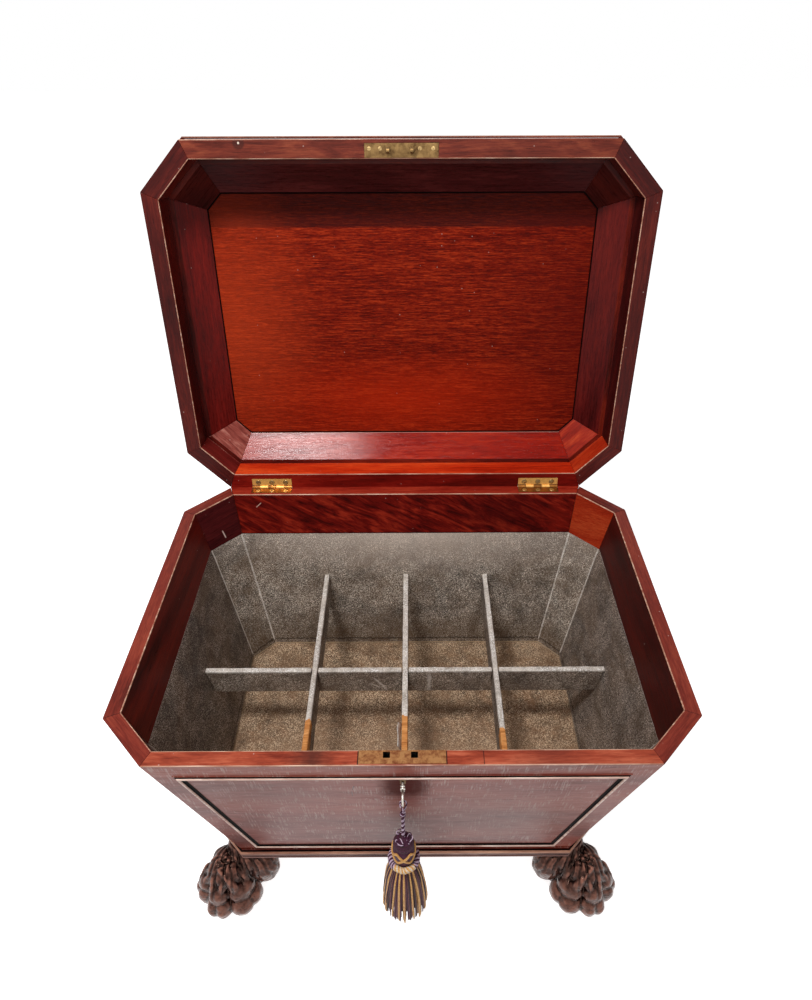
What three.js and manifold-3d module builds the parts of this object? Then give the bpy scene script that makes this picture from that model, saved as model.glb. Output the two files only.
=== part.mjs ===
import * as THREE from "three";
import { mergeVertices } from "three/addons/utils/BufferGeometryUtils.js";
import Module from "manifold-3d";

const wasm = await Module();
wasm.setup();

// Driving sizes of the case, in millimetres. X is right, Y is back and Z is up from the floor.
const caseWidth = 686;
const caseDepth = 491.5;
const rimHeight = 436;
const cornerCant = 60.2;
const wallSlopeShare = 0.16;
const wallThickness = 18.6;
const faceDrop = 302;
const quirkDepth = 3.5;
const quirkStep = 1.5;
const quirkHeight = 6.5;

// Clearances between pieces that touch on the real object, and the overrun of every cut.
const seamGap = 0.3;
const lidGap = 0.4;
const runningGap = 0.4;
const cutOverrun = 5;
const weldDistance = 1e-4;

// The lead lining and the bare band above it.
const bandDrop = 73;
const bandCant = 42;
const floorDrop = 309;
const floorCant = 35;
const leadThickness = 2.5;

// The bottom board and the reeded moulding round it.
const baseHeight = 21.5;
const baseProud = 4.8;
const baseWidth = 14.5;
const reedShares = [0.42, 0.29, 0.29];
const beadQuirk = 0.8;
const beadSteps = 4;

// The bottle divider.
const dividerThickness = 8.4;
const dividerHeight = 48.5;
const dividerDrop = 154.7;
const crossSpacing = 135.4;
const crossCount = 3;

// The applied moulding of a panel: its place on a face and its section.
const panelTopMargin = 28;
const panelSideMargin = 23;
const panelBottomMargin = 6;
const panelStripWidth = 9;
const panelStripProud = 3.4;

// The lid, as it lies closed.
const lidRimWidth = 22.5;
const lidEdgeHeight = 46;
const lidWallHeight = 42;
const lidLedgeWidth = 6.9;
const lidSlopeWidth = 36.8;
const lidCeilingHeight = 71;
const lidHipHeight = 84;
const lidPanelThickness = 15;
const lidOpenDegrees = 100.9;
const lidStripDrop = 19;
const lidStripHeight = 11;
const lidStripProud = 3;

// The two brass butt hinges.
const hingeWidth = 63.5;
const hingeInset = 67.8;
const leafDepth = 14;
const leafThickness = 1.8;
const barrelRadius = 3;
const hingeOut = 0.5;
const pinRadius = 1.2;
const knuckleCount = 5;
const screwSpacing = 22;
const screwHeadRadius = 4;
const screwHeadHeight = 1.2;
const screwShankRadius = 1.3;
const screwLength = 13;
const screwInset = 6.5;

// The link plate lock.
const lockPlateWidth = 95.5;
const lockPlateDepth = 16;
const lockPlateThickness = 2;
const lockPlateLip = 2.3;
const linkPlateWidth = 95;
const linkPlateDepth = 16.6;
const lugSpacing = 30.6;
const lugShift = -2;
const lugDepthShare = 2 / 3;
const lugThickness = 4;
const lugWidth = 6.6;
const lugHoleSide = 7.6;
const eyeWidth = 4.6;
const eyeHeight = 4.4;
const lockCaseWidth = 78;
const lockCaseInset = 5;
const lockCaseTop = 5.4;
const lockCaseWall = 1.2;
const keyDrop = 43;
const boltThickness = 2.6;
const boltThrow = 9;
const boltBarHeight = 4;
const prongHeight = 3.2;
const prongRise = 31.6;
const prongStandOff = 1;
const talonWidth = 8;
const talonDepth = 2.8;
const bitReach = 9;
const bitThickness = 2.4;
const bitLength = 7;

// The key and its escutcheon.
const shaftRadius = 1.8;
const keyInside = 15;
const keyOutside = 29;
const bowRadius = 7.6;
const bowWireRadius = 1.3;
const collarRadius = 3;
const collarLength = 3;
const keyholeRadius = 2.2;
const keyholeSlotWidth = 3.4;
const escutcheonWall = 1.6;
const escutcheonProud = 0.6;
const escutcheonThickness = 2;

// The tassel that hangs from the key.
const cordRadius = 2.2;
const loopRadius = 1;
const loopAcross = 5;
const loopLift = 3.1;
const loopSwayShare = 0.56;
const loopHangShare = 0.7;
const cordLength = 68;
const headHeight = 63;
const headRadius = 13.4;
const ruffRadius = 18.6;
const ruffThickness = 5;
const skirtHeight = 122;
const skirtTopRadius = 16.5;
const skirtBottomRadius = 29.4;
const cordSides = 8;
const cordRings = 28;
const loopSides = 6;

// The carved feet.
const footInsetX = 33;
const footInsetY = 3.6;
const footReach = 51;
const footSplayDegrees = -4;
const toeAngles = [-76, -22, 45, 108];
const toeWidthShares = [1, 1, 1.25, 0.9];

// Counts of facets, and the directions that are used often.
const roundSides = 12;
const lobeSides = 8;
const lobeRings = 5;
const fineSides = 20;
const quarterTurn = Math.PI / 2;
const wallTilt = Math.atan(wallSlopeShare);
const cantLossShare = 2 - Math.SQRT2;
const halfSeam = seamGap / 2 / Math.cos(Math.PI / 8);

// Finishes.
const finishes = {
  mahogany: new THREE.MeshStandardMaterial({ color: 0x6b2415, roughness: 0.32, metalness: 0 }),
  mahoganyFront: new THREE.MeshStandardMaterial({ color: 0x7a3a2a, roughness: 0.25, metalness: 0 }),
  mahoganyPanel: new THREE.MeshStandardMaterial({ color: 0x94330f, roughness: 0.35, metalness: 0 }),
  carvedMahogany: new THREE.MeshStandardMaterial({ color: 0x2b1512, roughness: 0.4, metalness: 0 }),
  lead: new THREE.MeshStandardMaterial({ color: 0x55524c, roughness: 0.75, metalness: 0.2 }),
  brass: new THREE.MeshStandardMaterial({ color: 0xc69032, roughness: 0.3, metalness: 1 }),
  agedBrass: new THREE.MeshStandardMaterial({ color: 0x96793c, roughness: 0.45, metalness: 1 }),
  steel: new THREE.MeshStandardMaterial({ color: 0xa8a49a, roughness: 0.35, metalness: 1 }),
  yarn: new THREE.MeshStandardMaterial({ color: 0x4b2136, roughness: 0.9, metalness: 0 }),
};

// Signed volume of a list of triangle corners.
function signedVolume(positions) {
  const a = new THREE.Vector3();
  const b = new THREE.Vector3();
  const c = new THREE.Vector3();
  let total = 0;
  for (let i = 0; i < positions.length; i += 9) {
    a.fromArray(positions, i);
    b.fromArray(positions, i + 3);
    c.fromArray(positions, i + 6);
    total += a.dot(b.cross(c));
  }
  return total;
}

// A closed geometry from points and convex faces, turned so that its faces point outwards.
function closedGeometry(points, faces) {
  const positions = [];
  for (const face of faces) {
    for (let i = 1; i < face.length - 1; i += 1) {
      positions.push(...points[face[0]], ...points[face[i]], ...points[face[i + 1]]);
    }
  }
  if (signedVolume(positions) < 0) {
    for (let i = 0; i < positions.length; i += 9) {
      const second = positions.slice(i + 3, i + 6);
      const third = positions.slice(i + 6, i + 9);
      positions.splice(i + 3, 6, ...third, ...second);
    }
  }
  const geometry = new THREE.BufferGeometry();
  geometry.setAttribute("position", new THREE.Float32BufferAttribute(positions, 3));
  geometry.computeVertexNormals();
  return geometry;
}

// The triangles that close a flat profile, all turned the way that the profile runs.
function capTriangles(profile) {
  const contour = profile.map(([u, v]) => new THREE.Vector2(u, v));
  const turn = THREE.ShapeUtils.isClockWise(contour);
  return THREE.ShapeUtils.triangulateShape(contour, []).map(([a, b, c]) => {
    const same = THREE.ShapeUtils.isClockWise([contour[a], contour[b], contour[c]]) === turn;
    return same ? [a, b, c] : [a, c, b];
  });
}

// The triangles of a profile that its first point sees all over.
function fanTriangles(count) {
  return Array.from({ length: count - 2 }, (_, i) => [0, i + 1, i + 2]);
}

// A bar lofted from one profile to another with as many points, closed at both ends by the same cap.
function barBetween(startRing, endRing, cap) {
  const count = startRing.length;
  const faces = [];
  for (let i = 0; i < count; i += 1) {
    const next = (i + 1) % count;
    faces.push([i, next, count + next], [i, count + next, count + i]);
  }
  for (const tri of cap) {
    faces.push([...tri].reverse(), tri.map((k) => k + count));
  }
  return closedGeometry([...startRing, ...endRing], faces);
}

// A solid stacked from convex rings of equal count, capped below and above.
function stackOf(rings) {
  const count = rings[0].length;
  const faces = [];
  for (let r = 0; r < rings.length - 1; r += 1) {
    for (let i = 0; i < count; i += 1) {
      const next = (i + 1) % count;
      const low = r * count;
      faces.push([low + i, low + next, low + count + next, low + count + i]);
    }
  }
  const last = (rings.length - 1) * count;
  const indices = rings[0].map((_, i) => i);
  faces.push([...indices].reverse(), indices.map((i) => last + i));
  return closedGeometry(rings.flat(), faces);
}

// A frame whose section is a closed profile: ring i joins ring i + 1, and the last joins the first.
function frameOf(rings) {
  const count = rings[0].length;
  const faces = [];
  rings.forEach((_, r) => {
    const here = r * count;
    const there = ((r + 1) % rings.length) * count;
    for (let i = 0; i < count; i += 1) {
      const next = (i + 1) % count;
      faces.push([here + i, here + next, there + next], [here + i, there + next, there + i]);
    }
  });
  return closedGeometry(rings.flat(), faces);
}

function toSolid(geometry) {
  const bare = geometry.index ? geometry.toNonIndexed() : geometry.clone();
  bare.deleteAttribute("normal");
  bare.deleteAttribute("uv");
  const merged = mergeVertices(bare, weldDistance);
  return new wasm.Manifold(
    new wasm.Mesh({
      numProp: 3,
      vertProperties: new Float32Array(merged.attributes.position.array),
      triVerts: new Uint32Array(merged.index.array),
    }),
  );
}

function fromSolid(solid) {
  const { vertProperties, triVerts } = solid.getMesh();
  const geometry = new THREE.BufferGeometry();
  geometry.setAttribute("position", new THREE.BufferAttribute(vertProperties, 3));
  geometry.setIndex(new THREE.BufferAttribute(triVerts, 1));
  const flat = geometry.toNonIndexed();
  flat.computeVertexNormals();
  return flat;
}

function cut(geometry, ...tools) {
  return fromSolid(tools.reduce((solid, tool) => solid.subtract(toSolid(tool)), toSolid(geometry)));
}

function join(geometry, ...others) {
  return fromSolid(others.reduce((solid, other) => solid.add(toSolid(other)), toSolid(geometry)));
}

function boxBetween(low, high) {
  const size = high.map((value, i) => value - low[i]);
  const middle = high.map((value, i) => (value + low[i]) / 2);
  return new THREE.BoxGeometry(...size).translate(...middle);
}

// A round bar along X, from one end to the other, at a place in the YZ plane.
function roundBarX(radius, fromX, toX, y, z, sides = roundSides) {
  return new THREE.CylinderGeometry(radius, radius, toX - fromX, sides)
    .rotateZ(quarterTurn)
    .translate((fromX + toX) / 2, y, z);
}

const meshes = new Map();

function addMesh(parent, name, geometry, material) {
  const mesh = new THREE.Mesh(geometry, material);
  mesh.name = name;
  parent.add(mesh);
  meshes.set(name, mesh);
  return mesh;
}

// The eight corners of a rectangle whose corners are cut at 45 degrees, counted from the front left.
function octagon({ halfWidth, halfDepth, cant, z }) {
  const shortWidth = halfWidth - cant;
  const shortDepth = halfDepth - cant;
  return [
    [-shortWidth, -halfDepth, z],
    [shortWidth, -halfDepth, z],
    [halfWidth, -shortDepth, z],
    [halfWidth, shortDepth, z],
    [shortWidth, halfDepth, z],
    [-shortWidth, halfDepth, z],
    [-halfWidth, shortDepth, z],
    [-halfWidth, -shortDepth, z],
  ];
}

// A level of the case at a depth below the rim, inset from the outer face.
function caseLevel(drop, inset = 0, cant = cornerCant - inset * cantLossShare) {
  const lean = wallSlopeShare * drop;
  return {
    halfWidth: caseWidth / 2 - lean - inset,
    halfDepth: caseDepth / 2 - lean - inset,
    cant,
    z: rimHeight - drop,
  };
}

// A level of the closed lid at a height above its rim.
function lidLevel(height, inset = 0) {
  return {
    halfWidth: caseWidth / 2 - inset,
    halfDepth: caseDepth / 2 - inset,
    cant: cornerCant - inset * cantLossShare,
    z: rimHeight + lidGap + height,
  };
}

// One of the eight mitred boards of a ring: side 0 is the front, and the sides go round by the right.
function mitredBoard(levels, side, cap) {
  const starts = [];
  const ends = [];
  for (const level of levels) {
    const corners = octagon(level);
    const from = new THREE.Vector3(...corners[side]);
    const to = new THREE.Vector3(...corners[(side + 1) % corners.length]);
    const pull = to.clone().sub(from).setLength(halfSeam);
    starts.push(from.add(pull).toArray());
    ends.push(to.sub(pull).toArray());
  }
  return barBetween(starts, ends, cap);
}

const sideNames = [
  "front",
  "front_right_corner",
  "right",
  "back_right_corner",
  "back",
  "back_left_corner",
  "left",
  "front_left_corner",
];

const cellarette = new THREE.Group();
const carcass = new THREE.Group();
cellarette.add(carcass);

// The lid turns on the hinge pins, and stands open here.
const hingeY = caseDepth / 2 + hingeOut;
const hingeZ = rimHeight + lidGap / 2;
const lidPivot = new THREE.Group();
lidPivot.position.set(0, hingeY, hingeZ);
lidPivot.rotation.x = -THREE.MathUtils.degToRad(lidOpenDegrees);
const lid = new THREE.Group();
lid.position.set(0, -hingeY, -hingeZ);
lidPivot.add(lid);
cellarette.add(lidPivot);

// A group that lies on one face of the case: its x runs along the face, its -y points outwards and
// its -z runs down the slope from the rim.
function faceGroup(side) {
  const group = new THREE.Group();
  const turns = { front: 0, right: quarterTurn, left: -quarterTurn };
  const away = side === "front" ? caseDepth / 2 : caseWidth / 2;
  group.rotation.set(wallTilt, 0, turns[side], "ZYX");
  group.position.set(Math.sin(turns[side]) * away, -Math.cos(turns[side]) * away, rimHeight);
  carcass.add(group);
  return group;
}

const frontFace = faceGroup("front");

// Turns a shape that is drawn in the front face's own frame into the frame of the case.
function onFrontFace(geometry) {
  frontFace.updateMatrix();
  return geometry.applyMatrix4(frontFace.matrix);
}

// Hinges: centres, at an inset from the corners of the back, screw places and the cuts in the boards.
const hingeOffset = caseWidth / 2 - cornerCant - hingeInset;
const hingeCentres = { left: -hingeOffset, right: hingeOffset };
const screwPlaces = [-screwSpacing, 0, screwSpacing];
const leafFrontY = caseDepth / 2 - leafDepth;
const screwY = leafFrontY + screwInset;

function hingeCuts(centre, isLid) {
  const up = isLid ? 1 : -1;
  const faceZ = isLid ? rimHeight + lidGap : rimHeight;
  const half = hingeWidth / 2 + seamGap;
  const zs = [faceZ + up * (leafThickness + seamGap), faceZ - up * cutOverrun].sort((a, b) => a - b);
  const leafRecess = boxBetween(
    [centre - half, leafFrontY - seamGap, zs[0]],
    [centre + half, caseDepth / 2 + cutOverrun, zs[1]],
  );
  const barrelRecess = roundBarX(
    barrelRadius + runningGap * 2,
    centre - half,
    centre + half,
    hingeY,
    hingeZ,
  );
  const holes = screwPlaces.map((place) =>
    new THREE.CylinderGeometry(
      screwShankRadius + seamGap,
      screwShankRadius + seamGap,
      (screwLength + seamGap) * 2,
      roundSides,
    )
      .rotateX(quarterTurn)
      .translate(centre + place, screwY, faceZ),
  );
  return [leafRecess, barrelRecess, ...holes];
}

// The carcass boards: full thickness down to the band, then rebated for the lead.
const boardDrop = floorDrop + leadThickness;
const rebateInset = wallThickness - leadThickness - seamGap;
const rebateCantStep = (leadThickness + seamGap) * cantLossShare;
const rimInnerCant = cornerCant - wallThickness * cantLossShare;
const boardLevels = [
  caseLevel(0),
  caseLevel(boardDrop),
  caseLevel(boardDrop, rebateInset, floorCant + rebateCantStep),
  caseLevel(bandDrop, rebateInset, bandCant + rebateCantStep),
  caseLevel(bandDrop, wallThickness, bandCant),
  caseLevel(0, wallThickness, rimInnerCant),
];

const boardCap = fanTriangles(boardLevels.length);

// The quirk that runs round the foot of the boards.
const quirkRings = [
  caseLevel(faceDrop),
  caseLevel(faceDrop + quirkStep, quirkDepth),
  caseLevel(faceDrop + quirkHeight, quirkDepth),
  caseLevel(faceDrop + quirkHeight, -cutOverrun),
  caseLevel(faceDrop, -cutOverrun),
].map(octagon);
const quirk = frameOf(quirkRings);

// The lock's cuts in the front board.
const boardThickness = wallThickness * Math.cos(wallTilt);
const lockCaseBack = boardThickness - seamGap;
const boltPlateLow = bitReach + runningGap * 2 + boltBarHeight;
const lockCaseBottom = keyDrop + boltPlateLow + lockCaseWall + seamGap * 2;
const lockPlateFrontY = -caseDepth / 2 + lockPlateLip;
const lockPlateBackY = lockPlateFrontY + lockPlateDepth;
const lugY = lockPlateFrontY + lockPlateDepth * lugDepthShare;
const lugPlaces = [lugShift - lugSpacing / 2, lugShift + lugSpacing / 2];

// The depth of the bolt behind the front face, and the drop of its prongs, where the lugs hang.
const prongDrop = keyDrop - prongRise;
const boltPlane = (lugY + caseDepth / 2 - prongDrop * Math.sin(wallTilt)) / Math.cos(wallTilt);
const eyeDrop = prongDrop * Math.cos(wallTilt) - boltPlane * Math.sin(wallTilt);

// A keyhole along y, drawn about the key's axis.
function keyholeShape(grow, fromY, toY) {
  const round = new THREE.CylinderGeometry(
    keyholeRadius + grow,
    keyholeRadius + grow,
    toY - fromY,
    fineSides,
  ).translate(0, (fromY + toY) / 2, 0);
  const slot = boxBetween(
    [-keyholeSlotWidth / 2 - grow, fromY, -bitReach - runningGap - grow],
    [keyholeSlotWidth / 2 + grow, toY, 0],
  );
  return join(round, slot).translate(0, 0, -keyDrop);
}

const lockMortise = onFrontFace(
  boxBetween(
    [-lockCaseWidth / 2 - seamGap, lockCaseInset - seamGap, -lockCaseBottom - seamGap],
    [lockCaseWidth / 2 + seamGap, boardThickness + cutOverrun, cutOverrun],
  ),
);
const plateRecess = boxBetween(
  [-lockPlateWidth / 2 - seamGap, lockPlateFrontY - seamGap, rimHeight - lockPlateThickness - seamGap],
  [lockPlateWidth / 2 + seamGap, lockPlateBackY + cutOverrun, rimHeight + cutOverrun],
);
const keyBore = onFrontFace(
  keyholeShape(0, -cutOverrun, lockCaseInset + cutOverrun),
);
const escutcheonRecess = onFrontFace(
  keyholeShape(escutcheonWall + seamGap, -cutOverrun, escutcheonThickness + seamGap),
);

sideNames.forEach((name, side) => {
  let board = cut(mitredBoard(boardLevels, side, boardCap), quirk);
  if (name === "front") {
    board = cut(board, lockMortise, plateRecess, keyBore, escutcheonRecess);
  }
  if (name === "back") {
    const cuts = Object.values(hingeCentres).flatMap((centre) => hingeCuts(centre, false));
    board = cut(board, ...cuts);
  }
  const finish = name === "front" ? finishes.mahoganyFront : finishes.mahogany;
  addMesh(carcass, `${name}_board`, board, finish);
});

// The bottom board, and the moulding of three reeds that runs round it.
const bottomTop = boardDrop + seamGap;
const baseBackInset = baseWidth - baseProud;
function baseLevel(fall, outset) {
  const level = caseLevel(boardDrop, -outset);
  return { ...level, z: rimHeight - bottomTop - fall };
}
const bottomRings = [0, baseHeight].map((fall) => octagon(baseLevel(fall, -baseBackInset - seamGap)));
addMesh(carcass, "bottom_board", stackOf(bottomRings), finishes.mahogany);

const baseWall = baseProud - (Math.max(...reedShares) * baseHeight) / 2;
const reedLevels = [];
let reedTop = 0;
for (const share of reedShares) {
  const radius = (share * baseHeight - beadQuirk) / 2;
  const middle = reedTop + (share * baseHeight) / 2;
  for (let step = 0; step <= beadSteps; step += 1) {
    const angle = (step / beadSteps) * Math.PI - quarterTurn;
    const outset = baseProud - radius + Math.cos(angle) * radius;
    reedLevels.push(baseLevel(middle + Math.sin(angle) * radius, outset));
  }
  reedTop += share * baseHeight;
}
const baseProfile = [
  baseLevel(0, baseWall),
  ...reedLevels,
  baseLevel(baseHeight, baseWall),
  baseLevel(baseHeight, -baseBackInset),
  baseLevel(0, -baseBackInset),
];
addMesh(carcass, "base_moulding", frameOf(baseProfile.map(octagon)), finishes.mahogany);

// The feet: carved paws that face the front or the back, splayed a little outwards, each with a broad
// lobe that runs in under the case and a smaller one on its outer side. Places and half sizes of the
// lobes are shares of the reach of a paw (outwards and sideways) and of its height.
const footHeight = rimHeight - bottomTop - baseHeight - seamGap;
const toeShares = [
  { out: 0.62, rise: 0.18, halfOut: 0.4, halfSide: 0.36, halfRise: 0.2 },
  { out: 0.54, rise: 0.5, halfOut: 0.27, halfSide: 0.26, halfRise: 0.28 },
  { out: 0.25, rise: 0.66, halfOut: 0.34, halfSide: 0.25, halfRise: 0.26 },
];
const bodyShares = [
  { out: -0.02, side: 0.12, rise: 0.4, halfOut: 0.58, halfSide: 0.6, halfRise: 0.46 },
  { out: -0.05, side: 0.08, rise: 0.15, halfOut: 0.62, halfSide: 0.68, halfRise: 0.18 },
  { out: -0.46, side: 0.5, rise: 0.7, halfOut: 0.46, halfSide: 0.52, halfRise: 0.42 },
  { out: -0.22, side: -0.05, rise: 0.6, halfOut: 0.42, halfSide: 0.42, halfRise: 0.32 },
  { out: 0.04, side: 0.99, rise: 0.82, halfOut: 0.4, halfSide: 0.5, halfRise: 0.27 },
  { out: -0.05, side: 0.65, rise: 0.76, halfOut: 0.38, halfSide: 0.42, halfRise: 0.32 },
  { out: -0.42, side: 0.17, rise: 0.2, halfOut: 0.38, halfSide: 0.55, halfRise: 0.24 },
];

// A lobe of a paw that faces +X. The hand is 1 where the broad lobe lies towards +Y, and -1 where it
// lies towards -Y.
function lobe({ out, side = 0, rise, halfOut, halfSide, halfRise }, hand, degrees = 0) {
  return new THREE.SphereGeometry(1, lobeSides, lobeRings)
    .rotateX(quarterTurn)
    .scale(halfOut * footReach, halfSide * footReach, halfRise * footHeight)
    .translate(out * footReach, side * hand * footReach, rise * footHeight)
    .rotateZ(THREE.MathUtils.degToRad(degrees * hand));
}

function pawGeometry(hand) {
  const toes = toeAngles.flatMap((degrees, i) =>
    toeShares.map((shares) =>
      lobe({ ...shares, halfSide: shares.halfSide * toeWidthShares[i] }, hand, degrees),
    ),
  );
  const [core, ...others] = bodyShares.map((shares) => lobe(shares, hand));
  const whole = join(core, ...others, ...toes);
  const room = boxBetween([-footReach * 2, -footReach * 2, 0], [footReach * 2, footReach * 2, footHeight]);
  return fromSolid(toSolid(whole).intersect(toSolid(room)));
}

const baseEdge = baseLevel(baseHeight, baseProud);
const footX = baseEdge.halfWidth - footInsetX;
const footY = baseEdge.halfDepth - footInsetY;
const footPlaces = {
  front_left: [-1, -1],
  front_right: [1, -1],
  back_right: [1, 1],
  back_left: [-1, 1],
};
for (const [place, [right, back]] of Object.entries(footPlaces)) {
  const hand = right * back;
  const foot = addMesh(carcass, `${place}_foot`, pawGeometry(hand), finishes.carvedMahogany);
  foot.position.set(right * footX, back * footY, 0);
  foot.rotation.z = back * quarterTurn - hand * THREE.MathUtils.degToRad(footSplayDegrees);
}

// The lead lining: an open tray that leans with the walls.
const liningTop = bandDrop + seamGap;
const liningOuter = [
  octagon(caseLevel(boardDrop, wallThickness - leadThickness, floorCant + leadThickness * cantLossShare)),
  octagon(caseLevel(liningTop, wallThickness - leadThickness, bandCant + leadThickness * cantLossShare)),
];
const cantRise = (bandCant - floorCant) / (floorDrop - bandDrop);
const liningInner = [
  octagon(caseLevel(floorDrop, wallThickness, floorCant)),
  octagon(caseLevel(bandDrop - cutOverrun, wallThickness, bandCant + cantRise * cutOverrun)),
];
addMesh(carcass, "lead_lining", cut(stackOf(liningOuter), stackOf(liningInner)), finishes.lead);

// The bottle divider: one long slat and three across it, halved over each other.
const dividerEnds = [dividerDrop, dividerDrop + dividerHeight];
function sloped(halfSpan, drop) {
  return halfSpan - wallThickness - wallSlopeShare * drop - seamGap;
}
const longOutline = [
  [-sloped(caseWidth / 2, dividerEnds[0]), -dividerEnds[0]],
  [-sloped(caseWidth / 2, dividerEnds[1]), -dividerEnds[1]],
  [sloped(caseWidth / 2, dividerEnds[1]), -dividerEnds[1]],
  [sloped(caseWidth / 2, dividerEnds[0]), -dividerEnds[0]],
];
const crossOutline = [
  [-sloped(caseDepth / 2, dividerEnds[0]), -dividerEnds[0]],
  [-sloped(caseDepth / 2, dividerEnds[1]), -dividerEnds[1]],
  [sloped(caseDepth / 2, dividerEnds[1]), -dividerEnds[1]],
  [sloped(caseDepth / 2, dividerEnds[0]), -dividerEnds[0]],
];
// A slat with its outline in the XZ plane and its thickness along Y.
function slat(outline) {
  const shape = new THREE.Shape(outline.map(([u, v]) => new THREE.Vector2(u, v)));
  return new THREE.ExtrudeGeometry(shape, { depth: dividerThickness, bevelEnabled: false })
    .translate(0, 0, -dividerThickness / 2)
    .rotateX(quarterTurn)
    .translate(0, 0, rimHeight);
}
const crossPlaces = [];
for (let i = 0; i < crossCount; i += 1) {
  crossPlaces.push((i - (crossCount - 1) / 2) * crossSpacing);
}
const halvingHalf = dividerThickness / 2 + seamGap;
const halvingZ = rimHeight - dividerDrop - dividerHeight / 2;
const longHalvings = crossPlaces.map((place) =>
  boxBetween(
    [place - halvingHalf, -dividerThickness, halvingZ - seamGap / 2],
    [place + halvingHalf, dividerThickness, rimHeight],
  ),
);
addMesh(carcass, "long_divider", cut(slat(longOutline), ...longHalvings), finishes.lead);
const crossHalving = boxBetween(
  [-dividerThickness, -halvingHalf, 0],
  [dividerThickness, halvingHalf, halvingZ + seamGap / 2],
);
const crossNames = ["left", "centre", "right"];
crossPlaces.forEach((place, i) => {
  const geometry = cut(slat(crossOutline).rotateZ(quarterTurn), crossHalving);
  const mesh = addMesh(carcass, `cross_divider_${crossNames[i]}`, geometry, finishes.lead);
  mesh.position.x = place;
});

// The applied panel mouldings on the front and the ends: a bead between two fillets.
const stripShares = [
  [0, 0.35],
  [0.2, 0.35],
  [0.3, 0.85],
  [0.45, 1],
  [0.6, 0.85],
  [0.7, 0.35],
  [1, 0.2],
];
const stripSection = [
  [0, seamGap],
  ...stripShares.map(([across, out]) => [across * panelStripWidth, out * panelStripProud]),
  [panelStripWidth, seamGap],
];
// The corners of a panel on a face, moved inwards along each side by an inset.
function panelCorners(halfSpan, inset, proud) {
  const slopeLength = 1 / Math.cos(wallTilt);
  const top = panelTopMargin + inset;
  const bottom = faceDrop - panelBottomMargin - inset;
  const lean = Math.hypot(1, wallSlopeShare);
  const half = (drop) =>
    halfSpan - cornerCant - panelSideMargin - wallSlopeShare * drop - inset * lean;
  return [
    [-half(top), -proud, -top * slopeLength],
    [-half(bottom), -proud, -bottom * slopeLength],
    [half(bottom), -proud, -bottom * slopeLength],
    [half(top), -proud, -top * slopeLength],
  ];
}
const faceSpans = { front: caseWidth / 2, left: caseDepth / 2, right: caseDepth / 2 };
for (const [side, halfSpan] of Object.entries(faceSpans)) {
  const group = side === "front" ? frontFace : faceGroup(side);
  const rings = stripSection.map(([inset, proud]) => panelCorners(halfSpan, inset, proud));
  addMesh(group, `${side}_panel_moulding`, frameOf(rings), finishes.mahogany);
}

// A screw: a flat head and a shank, pointing down from the top of its head.
function screwGeometry() {
  const profile = [
    [0, 0],
    [screwHeadRadius, 0],
    [screwHeadRadius, -screwHeadHeight],
    [screwShankRadius, -screwHeadHeight],
    [screwShankRadius, screwShankRadius - screwLength],
    [0, -screwLength],
  ];
  const points = profile.map(([r, z]) => new THREE.Vector2(r, z)).reverse();
  return new THREE.LatheGeometry(points, roundSides).rotateX(quarterTurn);
}

// Hinge leaves with turned knuckles, and their pins. A leaf's own knuckles alternate with its mate's.
const knuckleLength = hingeWidth / knuckleCount;
function hingeLeaf(isLid) {
  const up = isLid ? 1 : -1;
  const faceZ = isLid ? rimHeight + lidGap : rimHeight;
  const zs = [faceZ, faceZ + up * leafThickness].sort((a, b) => a - b);
  let leaf = boxBetween([-hingeWidth / 2, leafFrontY, zs[0]], [hingeWidth / 2, hingeY, zs[1]]);
  const own = [];
  const mates = [];
  for (let i = 0; i < knuckleCount; i += 1) {
    const from = i * knuckleLength - hingeWidth / 2;
    const to = from + knuckleLength;
    const isOwn = i % 2 === (isLid ? 1 : 0);
    const trim = seamGap / 2;
    if (isOwn) {
      const start = i === 0 ? from : from + trim;
      const end = i === knuckleCount - 1 ? to : to - trim;
      own.push(roundBarX(barrelRadius, start, end, hingeY, hingeZ));
    } else {
      const start = i === 0 ? from - cutOverrun : from - trim;
      const end = i === knuckleCount - 1 ? to + cutOverrun : to + trim;
      mates.push(roundBarX(barrelRadius + runningGap, start, end, hingeY, hingeZ));
    }
  }
  const bore = roundBarX(pinRadius + seamGap, -hingeWidth, hingeWidth, hingeY, hingeZ);
  const holes = screwPlaces.map((place) =>
    new THREE.CylinderGeometry(
      screwHeadRadius + seamGap,
      screwHeadRadius + seamGap,
      (leafThickness + cutOverrun) * 2,
      roundSides,
    )
      .rotateX(quarterTurn)
      .translate(place, screwY, faceZ),
  );
  leaf = join(leaf, ...own);
  return cut(leaf, ...mates, bore, ...holes);
}

for (const [side, centre] of Object.entries(hingeCentres)) {
  const caseLeaf = addMesh(carcass, `${side}_hinge_case_leaf`, hingeLeaf(false), finishes.brass);
  caseLeaf.position.x = centre;
  const lidLeaf = addMesh(lid, `${side}_hinge_lid_leaf`, hingeLeaf(true), finishes.brass);
  lidLeaf.position.x = centre;
  const pinGeometry = roundBarX(pinRadius, -hingeWidth / 2, hingeWidth / 2, 0, 0);
  const pin = addMesh(carcass, `${side}_hinge_pin`, pinGeometry, finishes.brass);
  pin.position.set(centre, hingeY, hingeZ);
  screwPlaces.forEach((place, i) => {
    const down = addMesh(carcass, `${side}_case_screw_${i + 1}`, screwGeometry(), finishes.steel);
    down.position.set(centre + place, screwY, rimHeight);
    const up = addMesh(lid, `${side}_lid_screw_${i + 1}`, screwGeometry(), finishes.steel);
    up.rotation.x = Math.PI;
    up.position.set(centre + place, screwY, rimHeight + lidGap);
  });
}

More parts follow.
